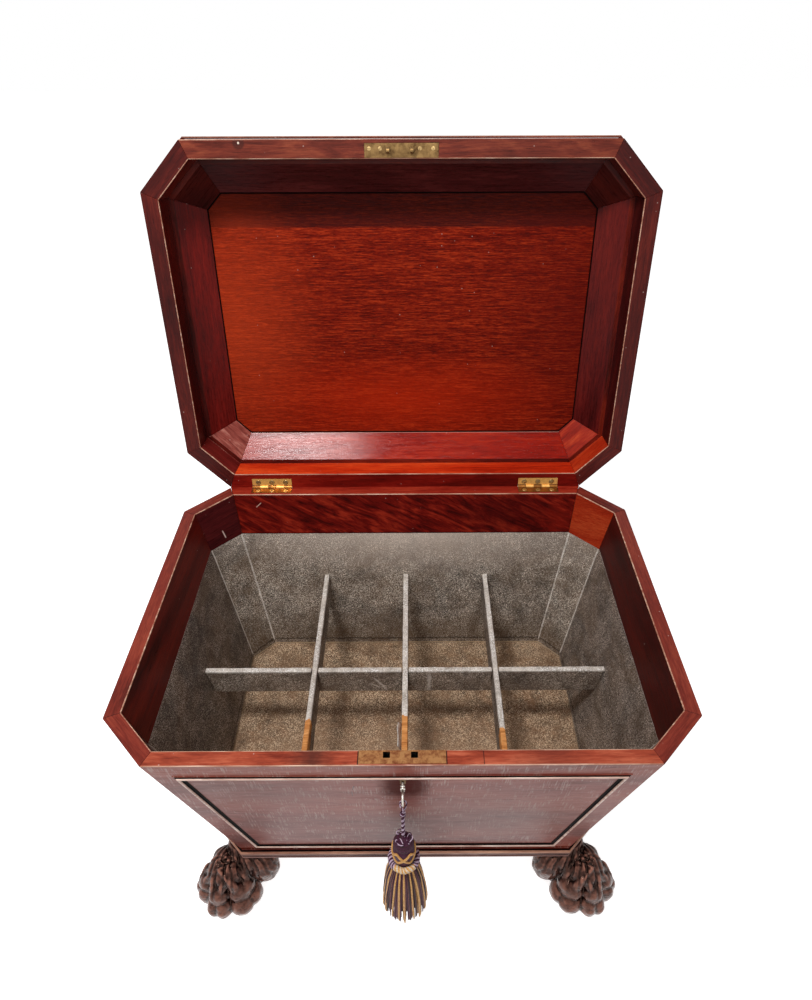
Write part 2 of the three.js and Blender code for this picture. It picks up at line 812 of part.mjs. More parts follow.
// The lid: eight mitred boards with a bevelled hip, and a flat panel let in at the top.
const ledgeInset = lidRimWidth + lidLedgeWidth;
const panelInset = ledgeInset + lidSlopeWidth;
const lidLevels = [
  lidLevel(0),
  lidLevel(lidEdgeHeight),
  lidLevel(lidHipHeight, panelInset),
  lidLevel(lidCeilingHeight, panelInset),
  lidLevel(lidWallHeight, ledgeInset),
  lidLevel(lidWallHeight, lidRimWidth),
  lidLevel(0, lidRimWidth),
];
const lidCap = capTriangles(lidLevels.map(({ halfWidth, z }) => [halfWidth, z]));
const linkPlateFrontY = lugY - linkPlateDepth / 2;
const linkRecess = boxBetween(
  [-linkPlateWidth / 2 - seamGap, linkPlateFrontY - seamGap, rimHeight - cutOverrun],
  [
    linkPlateWidth / 2 + seamGap,
    linkPlateFrontY + linkPlateDepth + seamGap,
    rimHeight + lidGap + lockPlateThickness + seamGap,
  ],
);
sideNames.forEach((name, side) => {
  let board = mitredBoard(lidLevels, side, lidCap);
  if (name === "front") {
    board = cut(board, linkRecess);
  }
  if (name === "back") {
    const cuts = Object.values(hingeCentres).flatMap((centre) => hingeCuts(centre, true));
    board = cut(board, ...cuts);
  }
  addMesh(lid, `lid_${name}_board`, board, finishes.mahogany);
});
const lidPanelRings = [0, lidPanelThickness].map((rise) =>
  octagon(lidLevel(lidCeilingHeight + rise, panelInset + seamGap)),
);
addMesh(lid, "lid_panel", stackOf(lidPanelRings), finishes.mahoganyPanel);

// The moulding round the lid, as shares of how far it stands out and of its height.
const lidStripShares = [
  [0.7, 0],
  [1, 0.3],
  [1, 0.7],
  [0.7, 1],
];
const lidStripSection = [
  [seamGap, 0],
  ...lidStripShares.map(([out, up]) => [out * lidStripProud + seamGap, up * lidStripHeight]),
  [seamGap, lidStripHeight],
];
const lidStripRings = lidStripSection.map(([proud, rise]) =>
  octagon(lidLevel(lidStripDrop + rise, -proud)),
);
addMesh(lid, "lid_moulding", frameOf(lidStripRings), finishes.mahogany);

// The link plate with its two lugs, each with an eye for a prong of the bolt.
const lugRound = lugWidth / 2;
const lugCentreZ = rimHeight - eyeDrop;
let linkPlate = boxBetween(
  [-linkPlateWidth / 2, linkPlateFrontY, rimHeight + lidGap],
  [linkPlateWidth / 2, linkPlateFrontY + linkPlateDepth, rimHeight + lidGap + lockPlateThickness],
);
for (const place of lugPlaces) {
  const shank = boxBetween(
    [place - lugThickness / 2, lugY - lugRound, lugCentreZ],
    [place + lugThickness / 2, lugY + lugRound, rimHeight + lidGap + lockPlateThickness / 2],
  );
  const end = roundBarX(
    lugRound,
    place - lugThickness / 2,
    place + lugThickness / 2,
    lugY,
    lugCentreZ,
    fineSides,
  );
  const eye = boxBetween(
    [place - lugThickness, lugY - eyeWidth / 2, lugCentreZ - eyeHeight / 2],
    [place + lugThickness, lugY + eyeWidth / 2, lugCentreZ + eyeHeight / 2],
  );
  linkPlate = cut(join(linkPlate, shank, end), eye);
}
addMesh(lid, "lid_link_plate", linkPlate, finishes.agedBrass);

// The lock: a plate in the rim, a case in the front board, and a bolt with two prongs.
const lockPlate = boxBetween(
  [-lockPlateWidth / 2, lockPlateFrontY, rimHeight - lockPlateThickness],
  [lockPlateWidth / 2, lockPlateBackY, rimHeight],
);
const lugHoles = lugPlaces.map((place) =>
  boxBetween(
    [place - lugHoleSide / 2, lugY - lugHoleSide / 2, rimHeight - cutOverrun],
    [place + lugHoleSide / 2, lugY + lugHoleSide / 2, rimHeight + cutOverrun],
  ),
);
addMesh(carcass, "lock_plate", cut(lockPlate, ...lugHoles), finishes.agedBrass);

const lockCase = cut(
  boxBetween(
    [-lockCaseWidth / 2, lockCaseInset, -lockCaseBottom],
    [lockCaseWidth / 2, lockCaseBack, -lockCaseTop],
  ),
  boxBetween(
    [-lockCaseWidth / 2 + lockCaseWall, lockCaseInset + lockCaseWall, -lockCaseBottom + lockCaseWall],
    [lockCaseWidth / 2 - lockCaseWall, lockCaseBack - lockCaseWall, cutOverrun],
  ),
  keyholeShape(0, -cutOverrun, boltPlane - boltThickness),
);
addMesh(frontFace, "lock_case", lockCase, finishes.steel);

const escutcheon = cut(
  keyholeShape(escutcheonWall, -escutcheonProud, escutcheonThickness),
  keyholeShape(0, -cutOverrun, cutOverrun),
);
addMesh(frontFace, "keyhole_escutcheon", escutcheon, finishes.brass);

// The bolt, about the key's axis: a plate with a window for the key's bit, and two hooked prongs.
const windowTop = bitReach;
const windowBottom = bitReach - talonDepth + runningGap * 2;
const windowHalf = boltThrow + shaftRadius + runningGap * 3;
const boltTop = windowTop + boltBarHeight;
const prongLow = prongRise - prongHeight / 2;
const prongHigh = prongRise + prongHeight / 2;
const prongFrom = lugThickness / 2 + prongStandOff;
const uprightFrom = lugThickness / 2 + boltThrow + runningGap + seamGap;
const uprightTo = uprightFrom + boltBarHeight;
const [leftLug, rightLug] = lugPlaces;
const boltLeft = -windowHalf - boltBarHeight * 3;
const boltOutline = [
  [boltLeft, -boltPlateLow],
  [rightLug + uprightTo, -boltPlateLow],
  [rightLug + uprightTo, prongHigh],
  [rightLug + prongFrom, prongHigh],
  [rightLug + prongFrom, prongLow],
  [rightLug + uprightFrom, prongLow],
  [rightLug + uprightFrom, boltTop],
  [leftLug + uprightTo, boltTop],
  [leftLug + uprightTo, prongHigh],
  [leftLug + prongFrom, prongHigh],
  [leftLug + prongFrom, prongLow],
  [leftLug + uprightFrom, prongLow],
  [leftLug + uprightFrom, boltTop],
  [boltLeft, boltTop],
];
const windowOutline = [
  [-windowHalf, -windowBottom],
  [-talonWidth / 2, -windowBottom],
  [-talonWidth / 2, -bitReach - runningGap * 2],
  [talonWidth / 2, -bitReach - runningGap * 2],
  [talonWidth / 2, -windowBottom],
  [windowHalf, -windowBottom],
  [windowHalf, windowTop],
  [-windowHalf, windowTop],
];
const boltShape = new THREE.Shape(boltOutline.map(([u, v]) => new THREE.Vector2(u, v)));
boltShape.holes.push(new THREE.Path(windowOutline.map(([u, v]) => new THREE.Vector2(u, v))));
const boltGeometry = new THREE.ExtrudeGeometry(boltShape, { depth: boltThickness, bevelEnabled: false })
  .rotateX(quarterTurn)
  .translate(0, boltPlane + boltThickness / 2, -keyDrop);
addMesh(frontFace, "lock_bolt", boltGeometry, finishes.steel);

// The key: shaft, collar, bit and a ring bow that stands upright.
const bowCentre = -(keyOutside - bowRadius - bowWireRadius);
const shaft = new THREE.CylinderGeometry(
  shaftRadius,
  shaftRadius,
  keyInside - bowCentre - bowRadius,
  roundSides,
).translate(0, (keyInside + bowCentre + bowRadius) / 2, 0);
const collar = new THREE.CylinderGeometry(
  collarRadius,
  collarRadius,
  collarLength,
  roundSides,
).translate(0, bowCentre + bowRadius + collarLength, 0);
const bow = new THREE.TorusGeometry(bowRadius, bowWireRadius, cordSides, fineSides)
  .rotateY(quarterTurn)
  .translate(0, bowCentre, 0);
const bit = boxBetween(
  [-bitThickness / 2, boltPlane - bitLength / 2, -bitReach],
  [bitThickness / 2, boltPlane + bitLength / 2, 0],
);
const key = addMesh(frontFace, "key", join(shaft, collar, bow, bit), finishes.steel);
key.position.z = -keyDrop;

// The tassel: a cord that ends in a loop through the bow, a bound head with a ruff, and a skirt.
const bowTip = new THREE.Vector3(0, bowCentre - bowRadius, -keyDrop);
frontFace.updateMatrix();
bowTip.applyMatrix4(frontFace.matrix);
const tasselY = bowTip.y - loopAcross / 2;
const headTop = bowTip.z - cordLength;
const loopJoin = bowTip.z - bowRadius - bowWireRadius - loopAcross;
// The loop goes round the tip of the bow, where the ring stays put as the key turns, and lies between
// the upright and the level place of the ring.
const loopPoints = [
  [0, tasselY, loopJoin],
  [bowRadius * loopSwayShare, bowTip.y + loopAcross, bowTip.z - bowRadius * loopHangShare],
  [0, bowTip.y + loopAcross, bowTip.z],
  [-loopLift, bowTip.y, bowTip.z + loopLift],
  [0, bowTip.y - loopAcross, bowTip.z],
  [(bowRadius * loopSwayShare) / 2, bowTip.y - loopAcross, bowTip.z - bowRadius * loopHangShare],
].map((point) => new THREE.Vector3(...point));
const loopCurve = new THREE.CatmullRomCurve3(loopPoints, true);
const loopSection = new THREE.Shape();
loopSection.absarc(0, 0, loopRadius, 0, Math.PI * 2);
const loop = new THREE.ExtrudeGeometry(loopSection, {
  steps: cordRings,
  curveSegments: loopSides / 2,
  extrudePath: loopCurve,
});
const cordTop = loopJoin + loopRadius;
const cord = new THREE.CylinderGeometry(cordRadius, cordRadius, cordTop - headTop, cordSides)
  .rotateX(quarterTurn)
  .translate(0, tasselY, (cordTop + headTop) / 2);
addMesh(cellarette, "tassel_cord", join(cord, loop), finishes.yarn);

function turned(profile, sides) {
  const points = profile.map(([r, z]) => new THREE.Vector2(r, z));
  return new THREE.LatheGeometry(points, sides).rotateX(quarterTurn);
}
// The head above its ruff, as shares of its radius and of its height down from the top.
const headShares = [
  [0.95, 0.4],
  [0.85, 0.2],
  [0.5, 0.05],
];
const headProfile = [
  [0, -headHeight],
  [headRadius, -headHeight],
  [ruffRadius, ruffThickness - headHeight],
  [ruffRadius, ruffThickness * 2 - headHeight],
  [headRadius, ruffThickness * 3 - headHeight],
  ...headShares.map(([out, down]) => [out * headRadius, -down * headHeight]),
  [0, -seamGap],
];
const head = addMesh(cellarette, "tassel_head", turned(headProfile, fineSides), finishes.yarn);
head.position.set(0, tasselY, headTop);
// The skirt, as shares of its widest radius and of its height down from the neck.
const skirtShares = [
  [0.93, 1],
  [1, 0.93],
  [0.93, 0.6],
  [0.78, 0.25],
];
const skirtProfile = [
  [0, -skirtHeight],
  ...skirtShares.map(([out, down]) => [out * skirtBottomRadius, -down * skirtHeight]),
  [skirtTopRadius, -seamGap],
  [0, -seamGap],
];
const skirt = addMesh(cellarette, "tassel_skirt", turned(skirtProfile, fineSides), finishes.yarn);
skirt.position.set(0, tasselY, headTop - headHeight);

// The origin lies on the floor, in the middle of the box that the open cellarette fills without its
// tassel.
const footprint = new THREE.Box3();
cellarette.updateMatrixWorld(true);
for (const [name, mesh] of meshes) {
  if (!name.startsWith("tassel")) {
    footprint.expandByObject(mesh, true);
  }
}
cellarette.position.y = -(footprint.min.y + footprint.max.y) / 2;

export default cellarette;
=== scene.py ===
import math
import random
import bmesh
import bpy
from mathutils import Matrix, Vector, noise


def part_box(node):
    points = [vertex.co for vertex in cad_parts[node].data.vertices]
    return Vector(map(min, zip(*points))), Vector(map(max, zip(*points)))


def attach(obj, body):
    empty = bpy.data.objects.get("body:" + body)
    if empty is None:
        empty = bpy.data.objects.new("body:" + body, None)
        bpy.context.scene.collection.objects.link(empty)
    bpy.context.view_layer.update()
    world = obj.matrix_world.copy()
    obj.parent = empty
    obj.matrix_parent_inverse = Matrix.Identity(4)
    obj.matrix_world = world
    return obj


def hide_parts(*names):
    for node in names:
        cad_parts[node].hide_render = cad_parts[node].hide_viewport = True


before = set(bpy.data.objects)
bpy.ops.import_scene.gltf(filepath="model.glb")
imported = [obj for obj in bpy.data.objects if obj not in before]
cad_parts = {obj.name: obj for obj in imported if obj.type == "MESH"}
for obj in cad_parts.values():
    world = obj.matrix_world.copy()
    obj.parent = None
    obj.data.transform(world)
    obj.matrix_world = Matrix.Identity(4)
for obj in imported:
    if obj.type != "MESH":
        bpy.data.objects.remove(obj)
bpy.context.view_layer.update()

random.seed(7)

# Places in metres, most of them read from the parts in model.glb.
caseY = sum(corner.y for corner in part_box("left_board")) / 2
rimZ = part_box("right_board")[1].z
hingeAxis = sum(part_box("left_hinge_pin"), Vector()) / 2
openTurn = math.radians(100.9)
case = {
    "halfWidth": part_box("right_board")[1].x,
    "halfDepth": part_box("back_board")[1].y - caseY,
    "cant": 0.0602,
}
lidGap = 0.0004


def solo(piece):
    if bpy.context.mode != "OBJECT":
        bpy.ops.object.mode_set(mode="OBJECT")
    bpy.ops.object.select_all(action="DESELECT")
    piece.select_set(True)
    bpy.context.view_layer.objects.active = piece


def edit(piece, mode="EDGE"):
    solo(piece)
    bpy.ops.object.mode_set(mode="EDIT")
    bpy.ops.mesh.select_mode(type=mode)
    bpy.ops.mesh.select_all(action="DESELECT")
    return bmesh.from_edit_mesh(piece.data)


def leaveEdit():
    bpy.ops.object.mode_set(mode="OBJECT")


def pickEdges(piece, test):
    shape = edit(piece)
    for edge in shape.edges:
        edge.select_set(test(edge.verts[0].co, edge.verts[1].co))
    bmesh.update_edit_mesh(piece.data)


def overAll(piece, work, mode="FACE"):
    edit(piece, mode)
    bpy.ops.mesh.select_all(action="SELECT")
    work()
    leaveEdit()


def modify(piece, kind, **settings):
    modifier = piece.modifiers.new(kind.lower(), kind)
    for name, value in settings.items():
        setattr(modifier, name, value)
    solo(piece)
    bpy.ops.object.modifier_apply(modifier=modifier.name)


def settle(piece):
    solo(piece)
    bpy.ops.object.transform_apply(location=True, rotation=True, scale=True)


def primitive(add, **settings):
    bpy.ops.object.select_all(action="DESELECT")
    add(**settings)
    made = bpy.context.object
    settle(made)
    return made


def smoothBy(piece, degrees):
    solo(piece)
    bpy.ops.object.shade_smooth_by_angle(angle=math.radians(degrees))


def flattenShading(piece, degrees):
    smoothBy(piece, degrees)
    modify(piece, "WEIGHTED_NORMAL", weight=100, keep_sharp=True)


def mergePoints(piece, distance=0.00002):
    overAll(piece, lambda: bpy.ops.mesh.remove_doubles(threshold=distance), "VERT")


def pointOutwards(piece):
    overAll(piece, lambda: bpy.ops.mesh.normals_make_consistent(inside=False))


def reshape(piece, moveOf):
    moved = []
    for vertex, normal in [(v.co.copy(), v.normal.copy()) for v in piece.data.vertices]:
        moved.extend(moveOf(vertex, normal))
    piece.data.vertices.foreach_set("co", moved)
    piece.data.update()


def joinAll(pieces, name):
    solo(pieces[0])
    for piece in pieces[1:]:
        piece.select_set(True)
    if len(pieces) > 1:
        bpy.ops.object.join()
    pieces[0].name = name
    pieces[0].data.name = name
    return pieces[0]


def twin(piece, name):
    other = piece.copy()
    other.data = piece.data.copy()
    other.name = name
    other.data.name = name
    bpy.context.scene.collection.objects.link(other)
    return other


def cadCopy(node, name):
    piece = twin(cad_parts[node], name)
    piece.parent = None
    for key in list(piece.keys()):
        del piece[key]
    piece.data.materials.clear()
    mergePoints(piece)
    solo(piece)
    if piece.data.has_custom_normals:
        bpy.ops.mesh.customdata_custom_splitnormals_clear()
    overAll(piece, lambda: bpy.ops.mesh.dissolve_limited(angle_limit=math.radians(0.4)))
    return piece


def addMaterials(piece, *materials):
    for material in materials:
        piece.data.materials.append(material)


def keep(piece, body, slot, *materials, nodes=()):
    if materials:
        piece.data.materials.clear()
        addMaterials(piece, *materials)
    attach(piece, body)
    if nodes:
        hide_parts(*nodes)
    return piece


def smoothLine(points, count, cyclic=False):
    points = [Vector(point) for point in points]
    size = len(points)
    spans = size if cyclic else size - 1
    made = []
    for step in range(count if cyclic else count + 1):
        along = step / count * spans
        span = min(int(along), spans - 1)
        t = along - span
        pick = [(span + k) % size if cyclic else max(0, min(size - 1, span + k)) for k in (-1, 0, 1, 2)]
        a, b, c, d = (points[k] for k in pick)
        made.append(0.5 * (2 * b + (c - a) * t + (2 * a - 5 * b + 4 * c - d) * t * t
                           + (3 * b - a - 3 * c + d) * t ** 3))
    return made


def twisted(path, offset, turns, strands, cyclic=False):
    size = len(path)
    ways = []
    for k in range(size):
        after = path[(k + 1) % size] if cyclic else path[min(k + 1, size - 1)]
        before = path[k - 1] if cyclic or k else path[0]
        ways.append((after - before).normalized())
    side = ways[0].orthogonal().normalized()
    sides = [side]
    for k in range(1, size):
        side = (side - ways[k] * side.dot(ways[k])).normalized()
        sides.append(side)
    slip = 0.0
    if cyclic:
        last = (side - ways[0] * side.dot(ways[0])).normalized()
        slip = math.atan2(last.cross(sides[0]).dot(ways[0]), last.dot(sides[0]))
    lines = []
    for strand in range(strands):
        line = []
        for k in range(size):
            share = k / size if cyclic else k / (size - 1)
            angle = 2 * math.pi * (turns * share + strand / strands) + slip * share
            line.append(path[k] + Matrix.Rotation(angle, 3, ways[k]) @ (sides[k] * offset))
        lines.append(line)
    return lines


def tubes(name, lines, materials, sides=2, smoothness=60):
    bpy.ops.object.select_all(action="DESELECT")
    bpy.ops.curve.primitive_bezier_curve_add()
    line = bpy.context.object
    line.data.splines.clear()
    line.data.bevel_depth = 1.0
    line.data.bevel_resolution = sides
    line.data.use_fill_caps = True
    addMaterials(line, *materials)
    for points, radius, choice, cyclic in lines:
        spline = line.data.splines.new("POLY")
        spline.points.add(len(points) - 1)
        for k, point in enumerate(points):
            spline.points[k].co = (*point, 1)
            spline.points[k].radius = radius[k] if isinstance(radius, (list, tuple)) else radius
        spline.use_cyclic_u = cyclic
        spline.use_smooth = True
        spline.material_index = choice
    solo(line)
    bpy.ops.object.convert(target="MESH")
    made = bpy.context.object
    made.name = made.data.name = name
    pointOutwards(made)
    smoothBy(made, smoothness)
    return made


def shapedGrid(name, columns, rows, placeOf, smoothness=35, closed=True):
    made = primitive(bpy.ops.mesh.primitive_grid_add, x_subdivisions=columns, y_subdivisions=rows, size=2)
    made.name = made.data.name = name
    for vertex in made.data.vertices:
        vertex.co = placeOf(round((vertex.co.x + 1) / 2 * columns), round((vertex.co.y + 1) / 2 * rows))
    mergePoints(made, 0.000005)
    if closed:
        edit(made, "EDGE")
        bpy.ops.mesh.select_non_manifold(extend=False)
        bpy.ops.mesh.fill_holes(sides=0)
        leaveEdit()
    pointOutwards(made)
    smoothBy(made, smoothness)
    return made


def lathed(name, profile, centre, steps=32, smoothness=40):
    def placeOf(i, j):
        r, z = profile[j]
        angle = 2 * math.pi * (i % steps) / steps
        return (centre[0] + r * math.cos(angle), centre[1] + r * math.sin(angle), centre[2] + z)
    return shapedGrid(name, steps, len(profile) - 1, placeOf, smoothness)


def ringLoft(name, rings, round=False, smoothness=30):
    size, count = len(rings[0]), len(rings)
    rows = count if round else count - 1
    return shapedGrid(name, size, rows, lambda i, j: rings[j % count][i % size], smoothness)


def edgeDistance(x, y, inset=0.0, shape=case):
    across = abs(x) - shape["halfWidth"] + inset
    along = abs(y) - shape["halfDepth"] + inset
    cant = (abs(x) + abs(y) - shape["halfWidth"] - shape["halfDepth"] + shape["cant"]) / math.sqrt(2) + inset
    return max(across, along, cant)


def closedLid(point):
    turned = Matrix.Rotation(openTurn, 3, "X") @ (point - hingeAxis)
    return turned + hingeAxis


def openLid(point):
    turned = Matrix.Rotation(-openTurn, 3, "X") @ (point - hingeAxis)
    return turned + hingeAxis


view = {
    "place": (0.01287, caseY - 0.6340, rimZ + 0.6754),
    "pitch": -40.578,
    "yaw": -0.172,
    "roll": 0.131,
    "lens": 24.567,
    "shift": (-0.00867, 0.02342),
}

cameraData = bpy.data.cameras.new("camera")
camera = bpy.data.objects.new("camera", cameraData)
bpy.context.scene.collection.objects.link(camera)
bpy.context.scene.camera = camera
cameraData.lens = view["lens"]
cameraData.sensor_width = 36
cameraData.shift_x, cameraData.shift_y = view["shift"]
looking = (
    Matrix.Rotation(math.radians(view["yaw"]), 4, "Z")
    @ Matrix.Rotation(math.radians(view["pitch"]), 4, "X")
    @ Matrix.Rotation(math.radians(view["roll"]), 4, "Y")
    @ Matrix.Rotation(math.radians(90), 4, "X")
)
camera.matrix_world = Matrix.Translation(view["place"]) @ looking
print("camera placed")


def feed(tree, node, inputs):
    for key, value in inputs.items():
        if isinstance(value, bpy.types.NodeSocket):
            tree.links.new(value, node.inputs[key])
        else:
            node.inputs[key].default_value = value


def place(tree, kind, inputs=(), **settings):
    made = tree.nodes.new(kind)
    for name, value in settings.items():
        setattr(made, name, value)
    feed(tree, made, dict(inputs))
    return made


def newGroup(name, inputs, outputs):
    tree = bpy.data.node_groups.new(name, "ShaderNodeTree")
    for label, kind, value in inputs:
        socket = tree.interface.new_socket(name=label, in_out="INPUT", socket_type=kind)
        if value is not None:
            socket.default_value = value
    for label, kind in outputs:
        tree.interface.new_socket(name=label, in_out="OUTPUT", socket_type=kind)
    return tree, tree.nodes.new("NodeGroupInput"), tree.nodes.new("NodeGroupOutput")


def scaled(tree, vector, factors):
    return place(tree, "ShaderNodeVectorMath", {0: vector, 1: factors}, operation="MULTIPLY").outputs[0]


def calc(tree, operation, first, second=0.0, clamp=False):
    made = place(tree, "ShaderNodeMath", {0: first, 1: second}, operation=operation, use_clamp=clamp)
    return made.outputs[0]


def spread(tree, value, share, base):
    return calc(tree, "ADD", calc(tree, "MULTIPLY", value, share), base)


def stepped(tree, value, low, high):
    made = place(tree, "ShaderNodeMapRange", {"Value": value, "From Min": low, "From Max": high}, clamp=True)
    return made.outputs["Result"]


def noiseOf(tree, vector, scale, detail=4.0, rough=0.55, distortion=0.0):
    return place(tree, "ShaderNodeTexNoise", {
        "Vector": vector, "Scale": scale, "Detail": detail, "Roughness": rough, "Distortion": distortion,
    }).outputs["Fac"]


def mixColours(tree, factor, first, second, blend="MIX"):
    inputs = {0: factor, 6: first, 7: second}
    return place(tree, "ShaderNodeMix", inputs, data_type="RGBA", blend_type=blend).outputs[2]


def colour(r, g, b):
    def linear(v):
        v /= 255
        return v / 12.92 if v <= 0.04045 else ((v + 0.055) / 1.055) ** 2.4
    return (linear(r), linear(g), linear(b), 1.0)


vector, number = "NodeSocketVector", "NodeSocketFloat"

# Grain that runs along x: long streaks, short dark pores and the broad figure of the board.
grainTree, grainIn, grainOut = newGroup(
    "boardGrain",
    [("Vector", vector, None), ("Streaks", number, 330.0), ("Pores", number, 1500.0),
     ("Figure", number, 9.0)],
    [("Streak", number), ("Pore", number), ("Figure", number)],
)
longways = scaled(grainTree, grainIn.outputs["Vector"], (0.06, 1, 1))
poreways = scaled(grainTree, grainIn.outputs["Vector"], (0.05, 1, 1))
broadways = scaled(grainTree, grainIn.outputs["Vector"], (0.22, 1, 1))
shortways = scaled(grainTree, grainIn.outputs["Vector"], (0.17, 1, 1))
rippleScale = calc(grainTree, "MULTIPLY", grainIn.outputs["Streaks"], 1.25)
ripple = noiseOf(grainTree, shortways, rippleScale, 3.0, 0.6, 0.8)
longStreak = noiseOf(grainTree, longways, grainIn.outputs["Streaks"], 5.0, 0.62, 0.6)
streak = calc(grainTree, "ADD", calc(grainTree, "MULTIPLY", longStreak, 0.62),
              calc(grainTree, "MULTIPLY", ripple, 0.38))
pore = stepped(grainTree, noiseOf(grainTree, poreways, grainIn.outputs["Pores"], 2.0, 0.5), 0.56, 0.70)
figure = noiseOf(grainTree, broadways, grainIn.outputs["Figure"], 4.0, 0.55, 1.6)
grainTree.links.new(stepped(grainTree, streak, 0.34, 0.66), grainOut.inputs["Streak"])
grainTree.links.new(pore, grainOut.inputs["Pore"])
grainTree.links.new(stepped(grainTree, figure, 0.3, 0.7), grainOut.inputs["Figure"])

# Small pale specks and chips, sparse over the surface.
speckTree, speckIn, speckOut = newGroup(
    "paleSpecks",
    [("Vector", vector, None), ("Scale", number, 160.0), ("Amount", number, 0.1)],
    [("Mask", number)],
)
cells = place(speckTree, "ShaderNodeTexVoronoi", {
    "Vector": speckIn.outputs["Vector"], "Scale": speckIn.outputs["Scale"], "Randomness": 1.0,
})
cellShare = place(speckTree, "ShaderNodeSeparateColor", {"Color": cells.outputs["Color"]}).outputs[0]
chosen = calc(speckTree, "LESS_THAN", cellShare, speckIn.outputs["Amount"])
near = stepped(speckTree, cells.outputs["Distance"], 0.16, 0.06)
speckTree.links.new(calc(speckTree, "MULTIPLY", chosen, near), speckOut.inputs["Mask"])

# A soft or sharp patch about a point, round or box shaped, with a ragged edge.
patchTree, patchIn, patchOut = newGroup(
    "softPatch",
    [("Vector", vector, None), ("Centre", vector, None), ("Half", vector, None), ("Turn", vector, None),
     ("Boxy", number, 0.0), ("Ragged", number, 0.0), ("Edge", number, 0.5)],
    [("Mask", number)],
)
wander = place(patchTree, "ShaderNodeTexNoise", {
    "Vector": patchIn.outputs["Vector"], "Scale": 130.0, "Detail": 4.0})
shaken = place(patchTree, "ShaderNodeVectorMath", {
    0: place(patchTree, "ShaderNodeVectorMath", {0: wander.outputs["Color"], 1: (0.5, 0.5, 0.5)},
             operation="SUBTRACT").outputs[0]}, operation="SCALE")
patchTree.links.new(patchIn.outputs["Ragged"], shaken.inputs["Scale"])
fromCentre = place(patchTree, "ShaderNodeVectorMath", {
    0: place(patchTree, "ShaderNodeVectorMath", {0: patchIn.outputs["Vector"], 1: patchIn.outputs["Centre"]},
             operation="SUBTRACT").outputs[0], 1: shaken.outputs[0]}, operation="ADD")
facing = place(patchTree, "ShaderNodeVectorRotate", {
    "Vector": fromCentre.outputs[0], "Rotation": patchIn.outputs["Turn"]}, rotation_type="EULER_XYZ")
shares = place(patchTree, "ShaderNodeVectorMath", {
    0: facing.outputs[0], 1: patchIn.outputs["Half"]}, operation="DIVIDE")
roundFar = place(patchTree, "ShaderNodeVectorMath", {
    0: shares.outputs[0]}, operation="LENGTH").outputs["Value"]
sized = place(patchTree, "ShaderNodeSeparateXYZ", {
    0: place(patchTree, "ShaderNodeVectorMath", {0: shares.outputs[0]}, operation="ABSOLUTE").outputs[0]})
boxFar = calc(patchTree, "MAXIMUM", sized.outputs[0], sized.outputs[1])
boxFar = calc(patchTree, "MAXIMUM", boxFar, sized.outputs[2])
far = calc(patchTree, "ADD", calc(patchTree, "MULTIPLY", boxFar, patchIn.outputs["Boxy"]),
           calc(patchTree, "MULTIPLY", roundFar, calc(patchTree, "SUBTRACT", 1.0, patchIn.outputs["Boxy"])))
patchTree.links.new(
    calc(patchTree, "DIVIDE", calc(patchTree, "SUBTRACT", 1.0, far), patchIn.outputs["Edge"], clamp=True),
    patchOut.inputs["Mask"])

# Oxidised lead: cloudy mottle, fine pale grit, brown stains and soft dents.
leadTree, leadIn, leadOut = newGroup(
    "leadFilm",
    [("Vector", vector, None)],
    [("Mottle", number), ("Grit", number), ("Stain", number), ("Height", number)],
)
mottle = noiseOf(leadTree, leadIn.outputs["Vector"], 55.0, 8.0, 0.72)
grit = noiseOf(leadTree, leadIn.outputs["Vector"], 560.0, 3.0, 0.75)
fineGrit = noiseOf(leadTree, leadIn.outputs["Vector"], 1250.0, 2.0, 0.6)
stain = noiseOf(leadTree, leadIn.outputs["Vector"], 11.0, 6.0, 0.68, 0.8)
leadTree.links.new(stepped(leadTree, mottle, 0.34, 0.66), leadOut.inputs["Mottle"])
thick = stepped(leadTree, noiseOf(leadTree, leadIn.outputs["Vector"], 24.0, 4.0, 0.6, 0.5), 0.38, 0.62)
specked = calc(leadTree, "MAXIMUM", stepped(leadTree, grit, 0.53, 0.60), calc(
    leadTree, "MULTIPLY", stepped(leadTree, fineGrit, 0.555, 0.62), 0.8))
leadTree.links.new(calc(leadTree, "MULTIPLY", specked, spread(leadTree, thick, 0.75, 0.45), clamp=True),
                   leadOut.inputs["Grit"])
leadTree.links.new(stepped(leadTree, stain, 0.42, 0.62), leadOut.inputs["Stain"])
leadTree.links.new(calc(leadTree, "ADD", mottle, calc(leadTree, "MULTIPLY", grit, 0.35)),
                   leadOut.inputs["Height"])

# Tarnish and handling marks on metal.
tarnishTree, tarnishIn, tarnishOut = newGroup(
    "metalTarnish",
    [("Vector", vector, None), ("Scale", number, 90.0)],
    [("Mask", number), ("Fine", number)],
)
patches = noiseOf(tarnishTree, tarnishIn.outputs["Vector"], tarnishIn.outputs["Scale"], 6.0, 0.65, 0.3)
brushed = noiseOf(tarnishTree, scaled(tarnishTree, tarnishIn.outputs["Vector"], (0.15, 1, 1)), 2400.0, 2.0)
tarnishTree.links.new(stepped(tarnishTree, patches, 0.42, 0.66), tarnishOut.inputs["Mask"])
tarnishTree.links.new(brushed, tarnishOut.inputs["Fine"])


def newMaterial(name):
    made = bpy.data.materials.new(name)
    made.use_nodes = True
    tree = made.node_tree
    return made, tree, tree.nodes["Principled BSDF"]


def coordinates(tree):
    return tree.nodes.new("ShaderNodeTexCoord").outputs["Object"]


def useGroup(tree, group, **inputs):
    made = tree.nodes.new("ShaderNodeGroup")
    made.node_tree = group
    feed(tree, made, inputs)
    return made.outputs


def bumped(tree, shader, height, strength, distance=0.0003):
    raised = place(tree, "ShaderNodeBump", {"Strength": strength, "Distance": distance, "Height": height})
    tree.links.new(raised.outputs["Normal"], shader.inputs["Normal"])


